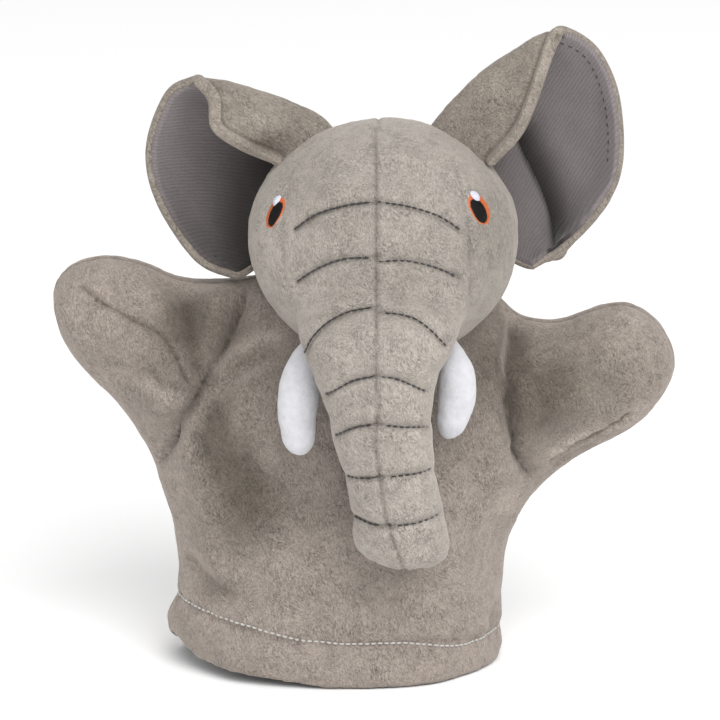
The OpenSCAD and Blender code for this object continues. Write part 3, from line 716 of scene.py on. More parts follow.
# The face's plush is paler than the glove's: painted light, for the head lit from the front and above
face_plush = plush("face_plush", (0.310, 0.282, 0.253), tilt=30.0, seed=11.0, contrast=0.75)
ear_plush = plush("ear_plush", (0.234, 0.205, 0.177), tilt=50.0, seed=29.0, contrast=0.85)
backing = knit("backing", (0.33, 0.31, 0.29))
dark_thread = thread("dark_thread", (0.013, 0.011, 0.010))
white_thread = thread("white_thread", (0.72, 0.70, 0.66))
tusk_felt = felt("tusk_felt", (0.60, 0.60, 0.63))
ear_ribbed = ribbed("ear_ribbed", (0.185, 0.163, 0.163), 1.35)
orange_satin = satin("orange_satin", (0.56, 0.125, 0.030))
black_satin = satin("black_satin", (0.007, 0.006, 0.006), 0.12)
white_satin = satin("white_satin", (0.66, 0.66, 0.76))


# --- Glove pieces ---------------------------------------------------------------------------------

centres = points[faces].mean(1)
along = {name: (centres - arm["pivot"]) @ arm["axis"] for name, arm in ARMS.items()}
ARM_CUTS = (-9, 9)  # where the cloth is cut along each arm, measured from its shoulder
face_inside = (depth_in[faces].mean(1) < -CLOTH / 2).astype(int)
torso = (along["right"] < ARM_CUTS[0]) & (along["left"] < ARM_CUTS[0])


def glove_piece(name, keep):
    """The chosen faces of the glove's cloth as a piece."""
    p, f, nrm, dark, shading = part_of(points, faces, keep, normals, painted_shade, shade_and_light)
    values = {"painted_shade": dark, "shade_and_light": shading}
    return make_object(name, p, f, [glove_plush, backing], nrm, values, face_inside[keep])


body_skin = glove_piece("glove_skin", torso)
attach(body_skin, "glove")
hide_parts("glove_front_panel", "glove_back_panel", "hem_band")
for name, arm in ARMS.items():
    s_near, s_far = ARM_CUTS
    shoulder = glove_piece(f"{name}_shoulder_skin", (along[name] >= s_near) & (along[name] < s_far))
    sleeve = glove_piece(f"{name}_sleeve_skin", along[name] >= s_far)
    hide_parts(f"{name}_shoulder_cloth")
    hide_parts(f"{name}_sleeve_front", f"{name}_sleeve_back")
    p0, a = arm["pivot"] * MM, arm["axis"] * MM
    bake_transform(shoulder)
    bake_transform(sleeve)

glove_tree = BVHTree.FromPolygons((points * MM).tolist(), faces.tolist())


def onto(tree, origin, direction):
    """Where a ray meets a skin, in millimetres, or None."""
    place = tree.ray_cast(Vector(origin) * MM, Vector(direction))[0]
    return None if place is None else np.array(place) / MM


STITCH_SIDES = 8
HEM_THREAD, FACE_THREAD, EAR_THREAD = 0.42, 0.38, 0.26  # half thickness of the threads
FAR = 120  # how far off the rays towards a skin start


def stitch_tubes(name, stitches, radius, thread_material, rings=9):
    """Short arched stitches along the skin. A stitch is (start, end, normal)."""
    all_p, all_f = [], []
    t = np.linspace(0, 1, rings)
    arch = np.sin(math.pi * t) ** 0.6
    swell = radius * (0.45 + 0.55 * arch)
    height = radius * 0.9 * arch - radius * 0.7
    ring = circle(STITCH_SIDES)
    ends = np.array([[0, 1, 2, 3], [0, 3, 4, 7], [4, 5, 6, 7]])
    for a, b, up in stitches:
        d = unit(b - a)
        up = unit(up - (up @ d) * d)
        side = np.cross(d, up)
        line = a + (b - a) * t[:, None] + up * height[:, None]
        p = line[:, None, :] + swell[:, None, None] * (
            np.cos(ring)[None, :, None] * side + np.sin(ring)[None, :, None] * up)
        base = len(all_p) * rings * STITCH_SIDES
        all_f.append(grid_faces(rings, STITCH_SIDES, True) + base)
        all_f.append(ends + base)
        all_f.append(ends[:, ::-1] + base + (rings - 1) * STITCH_SIDES)
        all_p.append(p.reshape(-1, 3))
    return make_object(name, np.concatenate(all_p), np.concatenate(all_f), [thread_material])


def stitch_between(a, b, length, up, lift):
    """A stitch about the middle of a and b, raised along up by lift."""
    middle = (a + b) / 2 + up * lift
    half = unit(b - a) * length / 2
    return middle - half, middle + half, up


STITCH_PITCH, STITCH_LENGTH = 2.4, 1.85
loop = []
for degrees in range(361):
    a = math.radians(degrees)
    direction = np.array([math.cos(a), math.sin(a), 0])
    start = np.array([HEM_X, 0, hem_line(HEM_HALF_WIDTH * math.cos(a) + HEM_X)]) + direction * FAR
    loop.append(onto(glove_tree, tuple(start), tuple(-direction)))
loop = np.array(loop)
loop = np.stack([np.convolve(np.r_[loop[-6:-1, c], loop[:, c], loop[1:6, c]], np.ones(5) / 5, "same")[5:-5]
                 for c in range(3)], 1)
line = resample(loop, STITCH_PITCH)
stitches = []
for a, b in zip(line[:-1], line[1:]):
    middle = (a + b) / 2
    up = unit(np.array([middle[0] - HEM_X, middle[1] * 2.2, 0]))
    lift = 0.22 + 0.4 * noise(middle[None, :], 5, 62)[0] + 0.15 * smoothstep(-20, 10, middle[0])
    stitches.append(stitch_between(a, b, STITCH_LENGTH, up, lift))
hem_thread = stitch_tubes("hem_thread", stitches, HEM_THREAD, white_thread)
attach(hem_thread, "glove")
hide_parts("hem_stitching")


# --- Head and trunk -------------------------------------------------------------------------------

HEAD_STEP = 1.0
HEAD = np.array([14, -16, 167.0])
HEAD_R = np.array([50, 46, 45.0])
# Trunk sections: height, centre x, half width, centre y, half depth
TRUNK = [
    (51.9, 23.9, 0.4, -56, 0.4), (52.9, 23.8, 8, -56, 6.5), (55, 23.1, 13.4, -56, 10.5),
    (58.5, 22.0, 16.6, -56, 13), (64, 20.8, 17.9, -56.3, 14.4), (71.5, 19.9, 17.7, -57.2, 15),
    (81.5, 18.0, 17.6, -58.6, 15.4), (91.5, 16.1, 18.0, -60, 15.8), (103.5, 13.9, 18.9, -61.3, 16.3),
    (117.5, 12.2, 20.4, -62, 17), (126.5, 11.4, 22.9, -62, 17.8), (133.5, 11.6, 25.9, -61, 19),
    (143.5, 12.2, 28.8, -56.5, 20.5), (153, 12.8, 28, -49, 20), (163, 13, 24, -40, 18),
    (180, 13, 20, -32, 16),
]
TRUNK_END = 52.1
low = (-42, -90, 44)
hx, hy, hz = grid_axes(low, (72, 36, 218), HEAD_STEP)
X, Y, Z = np.meshgrid(hx, hy, hz, indexing="ij")
ball = distance(((X - HEAD[0]) / HEAD_R[0]) ** 2 + ((Y - HEAD[1]) / HEAD_R[1]) ** 2
                + ((Z - HEAD[2]) / HEAD_R[2]) ** 2 - 1, HEAD_STEP)
tz, tcx, thw, tcy, thd = (np.array(c, float) for c in zip(*TRUNK))
cx, hw, cy, hd = (curve(tz, v, hz)[None, None, :] for v in (tcx, thw, tcy, thd))
tube = distance((np.abs(X - cx) / hw) ** 2.2 + (np.abs(Y - cy) / hd) ** 2.2 - 1, HEAD_STEP)
tube = np.maximum(tube, TRUNK_END - Z) + 60 * smoothstep(150, 185, Z) ** 1.2
head = smooth_min(ball, tube, 11)
points, faces, normals = skin(head, low, HEAD_STEP, lambda p: p - HEAD)

# Wrinkles stitched across the face and trunk, as x and z: the half on each side of the centre seam
WRINKLES = [
    ([(-18, 178.4), (-10.5, 184.4), (-2, 187.9), (7.5, 189.9), (11.2, 190.2)],
     [(12, 190.2), (18.5, 189.4), (28, 187), (36, 183.4), (42, 178.9)]),
    ([(-17.5, 158.9), (-10.5, 164.9), (-2, 169.4), (11, 171.2)],
     [(12, 169.4), (18.5, 169.8), (28, 168.1), (36, 164.8), (42, 160.9)]),
    ([(-14.5, 135.4), (-12.5, 141.4), (-8, 146.9), (0.5, 151.9), (10.8, 153.9)],
     [(12, 152.4), (19, 151.9), (25, 150.4), (31.5, 145.9), (37, 139.4)]),
    ([(-7, 121.5), (-2, 125.5), (2, 128.2), (11, 131.2)],
     [(13, 131), (17, 130.4), (22.5, 128), (29.5, 123.5)]),
    ([(-3.5, 105.5), (0, 108.5), (4, 110.8), (11, 112.5)],
     [(12.5, 112.5), (20.5, 111), (27, 110), (31.5, 108.5)]),
    ([(0, 88.9), (6.5, 90.5), (12.4, 91.7)],
     [(14, 91.7), (22.5, 92.2), (32.5, 92.5)]),
    ([(3.5, 73), (11, 72), (15.4, 72)],
     [(16.4, 72), (25, 72.7), (35.5, 74.5)]),
]
CENTRE_SEAM = [
    (11, 215.4), (11.4, 201.4), (11.6, 189.4), (11.6, 169.4), (11.4, 152.4), (11, 136.4), (12, 116.5),
    (11, 108.5), (12.4, 94.5), (15.4, 74.5), (17.6, 66.5), (21, 55.5), (23, 47.5),
]
CHEEK_SEAMS = [
    [(38, 205.4), (41.5, 197.4), (44.5, 185.4), (46, 164.4), (44, 147.4)],
    [(-12, 205.4), (-18, 197.4), (-21.5, 187.4), (-22.5, 169.4), (-21, 151.4)],
]
# Patches of painted shade on the head, painted light where the strength is below zero: x, z, reach across and
# up, strength
HEAD_SHADING = [
    (26, 172, 10, 12, 0.14), (2, 130, 10, 12, 0.12), (-28, 163, 9, 18, -0.28), (27, 105, 8, 40, -0.35),
    (20, 60, 14, 10, -0.25), (-2, 100, 6, 40, -0.2), (57, 172, 15, 26, 0.52), (-6, 190, 22, 16, 0.16),
    (4, 168, 12, 14, 0.16), (22, 160, 8, 14, 0.22), (-2, 150, 9, 10, 0.20),
]
SIDE_SEAM = 6  # y of the seams between the cheeks and the back of the head

x, y, z = points.T
move = np.zeros(len(points))
painted_shade = np.zeros(len(points))
facing = 1 - smoothstep(-0.35, 0.05, normals[:, 1])
for left, right in WRINKLES:
    for half, strength in ((left, 1.0), (right, 0.85)):
        r, t, side = near_flat(x, z, half, 2)
        fade = facing * (1 - smoothstep(0.6, 3, np.where((t <= 0) | (t >= 1), r, 0)))
        move -= 1.25 * strength * bell(r, 1.25) * fade
        move += 0.35 * bell(r - 4, 2.6) * facing
        # Painted shade along each wrinkle's crease
        painted_shade = np.maximum(painted_shade, 0.8 * strength * bell(r, 0.8) * fade)
r, t, side = near_flat(x, z, CENTRE_SEAM)
bristle = noise(points, 1.7, 78)
seam = bell(r + 0.3 * bristle, 0.7) * facing
move += 0.35 * bell(r - 2.3, 1.2) * (1 + bristle) * facing
back_seam = bell(x - 12.5, 0.8) * (1 - facing) * (z > 120)
under = bell(x - curve(tz, tcx, z), 0.8) * (1 - facing) * (z < 120) * (normals[:, 1] > 0.3)
# Each seam's groove, how deep it is and how dark its painted shade is
grooves = [(seam, 0.7, 0.8), (back_seam, 0.7, 0.8), (under, 0.7, 0.8)]
for line in CHEEK_SEAMS:
    r, t, side = near_flat(x, z, line)
    grooves.append((bell(r, 0.9) * facing * taper(t, 0.1, 0.2), 0.5, 0.25))
grooves.append((bell(y - SIDE_SEAM, 0.9) * (z > 120), 0.6, 0.5))
for groove, deep, dark in grooves:
    move -= deep * groove
    painted_shade = np.maximum(painted_shade, dark * groove)
# The trunk is drawn in a little at these heights, between its rolls
for height in (128.5, 110.5, 90, 72):
    move -= 0.55 * bell(z - height, 3) * (y < -30)
pucker = np.sin(z * 1.9 + 3 * noise(points, 9, 60)) * bell(x - 11.5, 5) * facing
move += 0.12 * pucker
move += 0.8 * noise(points, 30, 31) + 0.4 * noise(points, 12, 32) + 0.15 * noise(points, 6, 33)
move += pile(points, 40)
# Painted shade and painted light from the head's patches
head_shading = patches(x, z, HEAD_SHADING)
points = points + normals * move[:, None]
normals = vertex_normals(points, faces)
head_tree = BVHTree.FromPolygons((points * MM).tolist(), faces.tolist())

centres = points[faces].mean(1)
TRUNK_CUTS = (127.0, 104.0)  # heights where the trunk's skin is cut into its three parts
TRUNK_BACK = -40  # y behind which the head's skin is no longer trunk
is_trunk = (centres[:, 2] < TRUNK_CUTS[0]) & (centres[:, 1] < TRUNK_BACK)
is_lower = centres[:, 2] < TRUNK_CUTS[1]


def head_piece(name, keep):
    """The chosen faces of the head's skin as a piece."""
    p, f, nrm, dark, shading = part_of(points, faces, keep, normals, painted_shade, head_shading)
    return make_object(name, p, f, [face_plush], nrm, {"painted_shade": dark, "shade_and_light": shading})


head_skin = head_piece("head_skin", ~is_trunk)
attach(head_skin, "head")
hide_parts("head_back_panel", "right_cheek_panel", "left_cheek_panel", "right_face_panel",
            "left_face_panel", "head_stuffing", "trunk_root_right_panel", "trunk_root_left_panel",
            "trunk_root_stuffing")
trunk_middle = head_piece("trunk_middle_skin", is_trunk & ~is_lower)
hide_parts("trunk_upper_fold", "trunk_middle_right_panel", "trunk_middle_left_panel",
            "trunk_middle_stuffing")
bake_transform(trunk_middle)
trunk_tip = head_piece("trunk_tip_skin", is_trunk & is_lower)
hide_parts("trunk_lower_fold", "trunk_tip_right_panel", "trunk_tip_left_panel",
            "trunk_tip_stuffing")
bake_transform(trunk_tip)


WRINKLE_PITCH = 2.6


def wrinkle_stitches(index):
    """The stitches of one wrinkle, laid on the head's skin."""
    found = []
    for half, length, raised in zip(WRINKLES[index], (2.5, 2.3), (0.30, 0.05)):
        line = [onto(head_tree, (px, -FAR, pz), (0, 1, 0)) for px, pz in resample(half, 1.0)]
        line = resample(np.array([hit for hit in line if hit is not None])[::3], WRINKLE_PITCH)
        for a, b in zip(line[:-1], line[1:]):
            middle = (a + b) / 2
            up = unit(middle - np.array([13, -30, middle[2] - 4]))
            lift = raised + 0.26 * noise(middle[None, :], 4.5, 61)[0]
            found.append(stitch_between(a, b, length, up, lift))
    return found


for name, which, body, node in (
        ("brow_thread", (0, 1, 2), "head", "brow_stitching"),
        ("trunk_middle_thread", (3, 4), "trunk_middle", "trunk_middle_stitching"),
        ("trunk_tip_thread", (5, 6), "trunk_tip", "trunk_tip_stitching")):
    stitches = [stitch for k in which for stitch in wrinkle_stitches(k)]
    o = stitch_tubes(name, stitches, FACE_THREAD, dark_thread, rings=7)
    if name == "trunk_middle_thread":
        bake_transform(o)
    elif name == "trunk_tip_thread":
        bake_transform(o)
    else:
        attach(o, body)
    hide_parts(node)


# --- Grids: ears, tusks, eyes, neck ---------------------------------------------------------------


def net_surface(net, across, along_rows):
    """Points of a smooth surface through a net of control points, at the given row and column shares."""
    net = np.asarray(net, float)
    rows, cols = net.shape[:2]
    row_at, col_at = np.linspace(0, 1, rows), np.linspace(0, 1, cols)
    part = np.stack([[curve(col_at, net[i, :, c], across) for c in range(3)] for i in range(rows)])
    out = np.zeros((len(along_rows), len(across), 3))
    for c in range(3):
        for k in range(len(across)):
            out[:, k, c] = curve(row_at, part[:, c, k], along_rows)
    return out


def front_normals(g):
    """A sheet's normals, towards -Y at its middle."""
    n = unit(np.cross(np.gradient(g, axis=1), np.gradient(g, axis=0)))
    return -n if n[n.shape[0] // 2, n.shape[1] // 2, 1] > 0 else n


# Each ear as a net of points: rows from its lower end up to the folded-over flap, each from the head outwards
RIGHT_EAR = [
    [(-31, -8, 155), (-34, -8.2, 153), (-37, -8.5, 151), (-39, -8.8, 150.2), (-41, -9, 150)],
    [(-32, -3, 163), (-39, 1.5, 160.8), (-46, 3, 159), (-51, 0.5, 157.6), (-55.5, -6, 156.5)],
    [(-31, -1, 176), (-40, 6, 174.2), (-50, 9, 173), (-60.5, 5, 175), (-69.8, -4, 178)],
    [(-25, -2, 190), (-36.5, 5.5, 191.2), (-49, 9, 193), (-62, 4.5, 195), (-73.6, -5, 198.5)],
    [(-9, -6, 200), (-23, 0.5, 206.5), (-38, 4, 212), (-52.5, 1, 216), (-66.6, -7, 219.5)],
    [(-1, -10, 201), (-13, -9, 211.5), (-30, -8, 218.6), (-44, -8.5, 223.2), (-57.6, -9.5, 225.6)],
    [(-26.9, -18, 196.2), (-38.5, -25, 202.6), (-48.6, -27, 210.8), (-50.0, -22, 220.5),
     (-55.2, -13.5, 225.4)],
]
LEFT_EAR = [
    [(60, -8, 157.5), (62.7, -8.2, 156), (65.5, -8.5, 154.6), (68, -8.8, 153.6), (70.2, -9, 153.2)],
    [(60, -3, 164), (68.5, 2.5, 163), (77, 4, 162.5), (83.5, 1, 164.5), (89, -5, 167.8)],
    [(58.5, -1, 176), (70.3, 7.5, 176.8), (82.5, 10, 178.5), (93, 6, 183), (102, -3, 188)],
    [(51, -2, 192), (65, 7, 197), (79, 10, 202), (91, 5.5, 209.5), (101.8, -4, 216)],
    [(37, -6, 201.5), (51.5, 1, 212.5), (66, 3, 222.5), (80.5, -0.5, 230.5), (94.4, -7, 235.5)],
    [(30, -10, 201), (43, -8.5, 218), (57.5, -8, 231), (70.5, -8.5, 239.8), (83, -10, 244.8)],
    [(56, -18, 196), (65, -23, 207.5), (70.2, -23.5, 219.5), (74.6, -19, 231.5), (78.6, -13.5, 243.2)],
]
EAR_HALF, EAR_ROUND = 1.45, 2.0  # half thickness, and how far in from the edge it is reached
# Valleys pressed into the linings, as x and z
EAR_VALLEYS = {
    "right": [(-44, 202), (-43, 192), (-40, 182), (-37, 172)],
    "left": [(64, 200), (66, 195), (71, 184), (77, 168), (78.4, 159)],
}
EAR_RIM = {"right": 1.0, "left": 0.55}  # how wide the plush rim round the lining is, as a share
EAR_SHADE = {"right": 1.0, "left": 0.35}  # how far the lining darkens towards the head
# The dips also set how dark the valleys' painted shade is
EAR_DIPS = {"right": 0.0, "left": 1.0}  # how strongly the valley is pressed in
# Patches of painted shade on the folded-over backs: x, z, reach across and up, strength
EAR_SHADING = {"right": [(-29, 204, 9, 4, 0.9), (-18, 209, 8, 5, 0.35), (-46, 222, 6, 8, 0.15)],
            "left": [(49, 210, 12, 8, 0.25), (66, 222, 8, 12, 0.2)]}
# Shares of each ear's way round that carry a topstitch inside the rim
STITCHED = {"right": (0.15, 0.26), "left": (0.42, 0.82)}
EAR_STITCH_IN, EAR_STITCH_PITCH, EAR_STITCH_LENGTH = 5.0, 3.4, 1.7


def ear(side, net, rib_across):
    """One ear: its plush back and rim, its ribbed lining and the topstitch."""
    rows, cols = 230, 120
    u = np.sin(0.5 * math.pi * np.linspace(0, 1, cols)) ** 1.15
    v = 0.5 - 0.5 * np.cos(math.pi * np.linspace(0, 1, rows))
    g = net_surface(net, u, v)
    n = front_normals(g)
    flat = g.reshape(-1, 3)
    fold, _, over = near_flat(flat[:, 0], flat[:, 2], EAR_VALLEYS[side])
    dip = EAR_DIPS[side] * (2.8 * bell(fold, 3.2) - 1.4 * bell(fold - 7, 4) * (over < 0))
    below_flap = (1 - smoothstep(0.60, 0.75, v)) * smoothstep(0.0, 0.12, v)
    on_bowl = np.outer(below_flap, 1 - smoothstep(0.8, 0.98, u))
    g = g - n * (dip.reshape(rows, cols) * on_bowl)[:, :, None]
    n = front_normals(g)
    flat, nrm = g.reshape(-1, 3), n.reshape(-1, 3)
    r = near_line(flat, np.concatenate([g[0], g[:, -1], g[-1, ::-1]])[::3])
    edge = np.clip(r / EAR_ROUND, 0, 1)
    half = EAR_HALF * np.sqrt(np.maximum(1 - (1 - edge) ** 2, 0))
    rough = 0.35 * noise(flat, 11, 70) + 0.15 * noise(flat, 5, 71)
    rim_r = r / EAR_RIM[side]
    puff_rim = 0.5 * EAR_RIM[side] * bell(rim_r - 2.6, 1.6)
    groove = EAR_RIM[side] * bell(rim_r - 1.9, 0.5)
    to_flap = near_line(flat, g[-1, ::3])
    at_tip = np.tile(1 - smoothstep(0.80, 0.97, u), rows)
    roll = at_tip * 1.5 * bell(to_flap - 2.0, 1.5) - at_tip * 0.9 * bell(to_flap - 4.6, 0.8)
    inner_p = flat + nrm * (half + (rough + pile(flat, 80)) * edge + puff_rim - 0.5 * groove)[:, None]
    outer_p = flat - nrm * (half * 1.2 + (rough + pile(flat + 50, 81)) * edge + puff_rim + roll)[:, None]
    f = grid_faces(rows, cols)
    p = np.concatenate([inner_p, outer_p])
    f_all = np.concatenate([f, f[:, ::-1] + rows * cols])
    # The two faces are sewn together at the free edges
    index = np.arange(rows * cols).reshape(rows, cols)
    border = np.concatenate([index[0, :], index[1:, -1], index[-1, :-1]])
    remap = np.arange(2 * rows * cols)
    remap[border + rows * cols] = border
    p[border] = flat[border]
    f_all = remap[f_all]
    used, inverse = np.unique(f_all, return_inverse=True)
    # Painted shade in the rim's groove and in the dip under the flap's roll
    cr = np.concatenate([0.6 * groove, 0.55 * bell(to_flap - 4.6, 0.7)])
    # Painted shade from the patches, less a painted highlight along the flap's rolled edge
    shading = patches(p[:, 0], p[:, 2], EAR_SHADING[side])
    shading -= 0.5 * np.concatenate([np.zeros(len(r)), bell(to_flap - 1.2, 2.2)])
    back = make_object(f"{side}_ear_plush", p[used], inverse.reshape(f_all.shape), [ear_plush], None,
                       {"painted_shade": cr[used], "shade_and_light": shading[used]})
    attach(back, f"{side}_ear")
    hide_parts(f"{side}_ear_back")
    # The lining rises out of the plush just inside the rim
    rise = 0.55 * smoothstep(1.8, 2.9, rim_r) - 1.5 * (1 - smoothstep(1.0, 1.8, rim_r))
    across = flat @ np.array(rib_across, float)
    ribs = 0.05 * np.sin(2 * math.pi * (across + 0.35 * noise(flat, 2.0, 90)) / 1.5) * smoothstep(2, 3, r)
    soft = 0.4 * noise(flat, 16, 75)
    lining_p = flat + nrm * (half + rise + ribs + rough + 0.35 * edge + 0.25)[:, None]
    lining_p += nrm * (soft * smoothstep(3, 9, r))[:, None]
    keep = rim_r[f].min(1) > 0.9
    # Painted shade: the lining darkens towards the head, low on the right ear, and along the valley
    deep = 1 - smoothstep(0, 40, np.linalg.norm((flat - HEAD) / HEAD_R, axis=1) * 46 - 46)
    deep = np.maximum(deep, 0.62 * (1 - smoothstep(156, 192, flat[:, 2])) * (side == "right"))
    valley = bell(np.maximum(fold - 1, 0), np.where(over < 0, 2.5, 10.0))
    deep = np.maximum(deep * EAR_SHADE[side], EAR_DIPS[side] * valley)
    pl, fl, rb, ce = part_of(lining_p, f, keep, across, np.clip(deep, 0, 1))
    lining = make_object(f"{side}_ear_lining_cloth", pl, fl, [ear_ribbed], None, {"rib": rb, "painted_shade": ce})
    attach(lining, f"{side}_ear")
    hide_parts(f"{side}_ear_lining")
    # The topstitch runs a little inside the rim
    stitches = []
    inside = lining_p.reshape(rows, cols, 3)
    from_rim = r.reshape(rows, cols)[:, cols // 2:]
    first, last = (int(rows * share) for share in STITCHED[side])
    line = []
    for i in range(first, last, 3):
        k = np.argmin(np.abs(from_rim[i] - EAR_STITCH_IN)) + cols // 2
        line.append(inside[i, k] + n[i, k] * 0.1)
    line = resample(np.array(line)[::2], EAR_STITCH_PITCH)
    for a, b in zip(line[:-1], line[1:]):
        up = nrm[np.argmin(np.linalg.norm(flat - a, axis=1))]
        stitches.append((a, a + unit(b - a) * EAR_STITCH_LENGTH, up))
    thread_piece = stitch_tubes(f"{side}_ear_thread", stitches, EAR_THREAD, dark_thread, rings=6)
    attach(thread_piece, f"{side}_ear")
    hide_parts(f"{side}_ear_stitching")


ear("right", RIGHT_EAR, (0.06, 0, 1))
ear("left", LEFT_EAR, (0.87, 0, -0.5))

# Tusk sections from the root to the tip: x, y, z and radius
TUSKS = {
    "right": [(-9, -42, 135, 4.0), (-12, -46, 130, 6.0), (-15.2, -49, 123, 7.2), (-16.7, -51, 116, 7.6),
              (-17.4, -51.7, 108, 6.9), (-16.8, -52, 101, 6.2), (-16.0, -52, 93.8, 5.7)],
    "left": [(38, -38, 133, 3.0), (39.6, -43, 129, 4.8), (41.0, -46, 123, 6.4), (41.2, -47.3, 115, 6.8),
             (39.7, -48.3, 107.5, 6.0), (37.2, -48.8, 99.2, 4.4)],
}
TUSK_SQUASH = 0.86  # a tusk's depth as a share of its width
TUSK_CAP = 0.16  # share of a tusk's length taken by its rounded tip


def tusk(side, sections):
    """One stuffed felt tusk, with the seam down its outer side."""
    s = np.array(sections, float)
    rows, cols = 110, 64
    t = np.linspace(0, 1, len(s))
    v = 1 - (1 - np.linspace(0, 1, rows)) ** 1.4
    centre = np.stack([curve(t, s[:, c], v) for c in range(3)], 1)
    cap = np.sqrt(np.maximum(1 - np.clip((v - 1 + TUSK_CAP) / TUSK_CAP, 0, 1) ** 2.2, 0))
    radius = np.maximum(curve(t, s[:, 3], v) * cap, 0.05)
    tangent = unit(np.gradient(centre, axis=0))
    ring = circle(cols)
    first = np.array([1.0, 0, 0])
    first = unit(first - (tangent @ first)[:, None] * tangent)
    second = TUSK_SQUASH * np.cross(tangent, first)
    offset = radius[:, None, None] * (
        np.cos(ring)[None, :, None] * first[:, None, :] + np.sin(ring)[None, :, None] * second[:, None, :])
    flat = (centre[:, None, :] + offset).reshape(-1, 3)
    away = unit(offset.reshape(-1, 3))
    seam_at = math.pi if side == "right" else 0
    off_seam = (ring - seam_at + math.pi) % (2 * math.pi) - math.pi
    lumps = 0.35 * noise(flat, 9, 95) + 0.16 * noise(flat, 4, 96) + 0.05 * noise(flat, 1.3, 97)
    lumps += 0.3 * np.tile(bell(off_seam * 7, 0.9), rows)
    flat = flat + away * (lumps * np.repeat(np.clip(radius / 3, 0, 1), cols))[:, None]
    o = make_object(f"{side}_tusk", flat, grid_faces(rows, cols, True), [tusk_felt])
    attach(o, f"{side}_tusk")
    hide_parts(f"{side}_tusk_felt", f"{side}_tusk_stuffing")


for side, sections in TUSKS.items():
    tusk(side, sections)

# Direction from the head's centre, lean, half width, and the glint's place across and up
EYES = {
    "right": ((-39.1, -23.6, 15.4), -15, 4.7, (-1.8, 3.9)),
    "left": ((35.3, -26.6, 17.6), 20, 5.2, (1.5, 4.7)),
}
EYE_HALF_HEIGHT = 7.3
PUPIL_TALLER = 1.14  # the pupil is narrower than the iris for its height


def eye(side, direction, lean, half_w, glint):
    """One embroidered eye, laid on the head's skin: iris, pupil and glint."""
    n = np.array(direction, float)
    n /= np.linalg.norm(n / HEAD_R)
    centre = HEAD + n
    out = unit(n / HEAD_R**2)
    across = unit(np.cross([0, 0, 1.0], out))
    up = np.cross(out, across)
    a = math.radians(lean)
    c, s = math.cos(a), math.sin(a)
    across, up = across * c + up * s, up * c - across * s

    def patch(name, share, tall, height, offset, node, mat, slot, strands, radial=False):
        rings, cols = 14, 160
        q = np.linspace(0, share, rings)
        ring = circle(cols)
        p2 = offset[0] + half_w * q[:, None] * np.cos(ring)
        p3 = offset[1] + EYE_HALF_HEIGHT * q[:, None] * np.sin(ring) * tall
        profile = np.sqrt(np.maximum(1 - (q / share) ** 2, 0))
        if radial:
            strand = np.tile(ring / (2 * math.pi) * strands, (rings, 1))
        else:
            strand = p3 / (2 * EYE_HALF_HEIGHT) * strands
        raised = -0.5 + (height + 0.09 * np.sin(strand * 2 * math.pi)) * profile[:, None]
        pts = []
        for px, pz, lift in zip(p2.ravel(), p3.ravel(), raised.ravel()):
            flat = centre + across * px + up * pz
            hit = onto(head_tree, tuple(flat + out * 12), tuple(-out))
            pts.append((flat if hit is None else hit) + out * lift)
        values = {"strand": strand.ravel()}
        o = make_object(name, np.array(pts), grid_faces(rings, cols, True), [mat], None, values)
        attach(o, "head")
        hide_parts(node)

    inward = 1 if side == "right" else -1
    patch(f"{side}_iris", 1.0, 1, 0.95, (0, 0), f"{side}_eye_iris", orange_satin, "orange_thread", 56, True)
    patch(f"{side}_pupil", 0.70, PUPIL_TALLER, 1.38, (0.13 * half_w * inward, -0.2), f"{side}_eye_pupil",
          black_satin, "black_thread", 24)
    patch(f"{side}_glint", 0.34, 1, 1.85, glint, f"{side}_eye_glint", white_satin, "white_thread", 44)


for side, settings in EYES.items():
    eye(side, *settings)

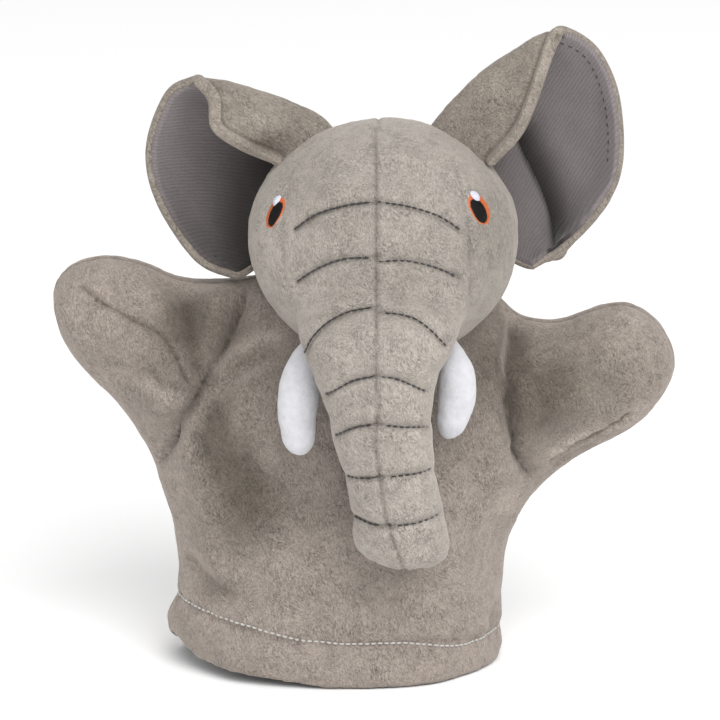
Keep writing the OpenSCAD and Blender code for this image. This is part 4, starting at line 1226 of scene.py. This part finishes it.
# The gathered neck between the glove and the head, mostly out of sight
cols, rows = 120, 18
ring = circle(cols)
v = np.linspace(0, 1, rows)[:, None]
height = np.repeat(122 + 20 * v, cols, 1)
centre_x, centre_y = 9 + 4 * v, -2 - 6 * v
half_width, half_depth = 34 - 4 * v, 20 + 1.5 * v
gather = 1 + 0.02 * np.sin(ring * 22)
neck_p = np.stack([
    centre_x + half_width * np.cos(ring) * gather,
    centre_y + half_depth * np.sin(ring) * gather, height], -1).reshape(-1, 3)
neck_skin = make_object("neck_skin", neck_p, grid_faces(rows, cols, True), [glove_plush], None,
                        {"painted_shade": np.zeros(len(neck_p))})
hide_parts("neck_cloth")
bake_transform(neck_skin)
for n in ("head_base_panel", "finger_pocket"):
    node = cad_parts[n]
    node.data.materials.clear()
    node.data.materials.append(backing)


# --- Studio ---------------------------------------------------------------------------------------

ELEVATION, AWAY, ACROSS = 15.0, 2400.0, 270  # the camera's angle and distance, and the width it sees
SENSOR = 36
target = Vector((5.6, 0, 116.0)) * MM
e = math.radians(ELEVATION)
camera = bpy.data.objects.new("camera", bpy.data.cameras.new("camera"))
camera.data.sensor_width = SENSOR
camera.data.lens = SENSOR * AWAY / ACROSS
camera.data.clip_start, camera.data.clip_end = 0.1, 20
back = Vector((0, -math.cos(e), math.sin(e)))
camera.location = target + back * AWAY * MM
camera.rotation_mode = "QUATERNION"
camera.rotation_quaternion = (-back).to_track_quat("-Z", "Y")
bpy.context.scene.collection.objects.link(camera)
bpy.context.scene.camera = camera

world = bpy.data.worlds.new("studio")
world.use_nodes = True
world.node_tree.nodes["Background"].inputs[0].default_value = (1, 1, 1, 1)
world.node_tree.nodes["Background"].inputs[1].default_value = 0.80
bpy.context.scene.world = world
bpy.context.scene.view_settings.view_transform = "Standard"

bpy.ops.mesh.primitive_plane_add(size=24, location=(0, 0, -0.0002))
floor = bpy.context.object
floor.name = "floor"
floor_paint, _, floor_shader = material("floor_paint")
floor_shader.inputs["Base Color"].default_value = (0.97, 0.97, 0.97, 1)
floor_shader.inputs["Roughness"].default_value = 1.0
floor_shader.inputs["Specular IOR Level"].default_value = 0.0
floor.data.materials.append(floor_paint)


def area_light(name, place, aim, size, power):
    data = bpy.data.lights.new(name, "AREA")
    data.shape, data.size, data.energy = "DISK", size, power
    o = bpy.data.objects.new(name, data)
    o.location = place
    o.rotation_mode = "QUATERNION"
    o.rotation_quaternion = (Vector(aim) - Vector(place)).to_track_quat("-Z", "Y")
    bpy.context.scene.collection.objects.link(o)


area_light("key", (0.60, -1.6, 1.6), (0, 0, 0.12), 2.0, 47)
area_light("fill", (-1.6, -1.4, 0.8), (0, 0, 0.12), 1.6, 5)
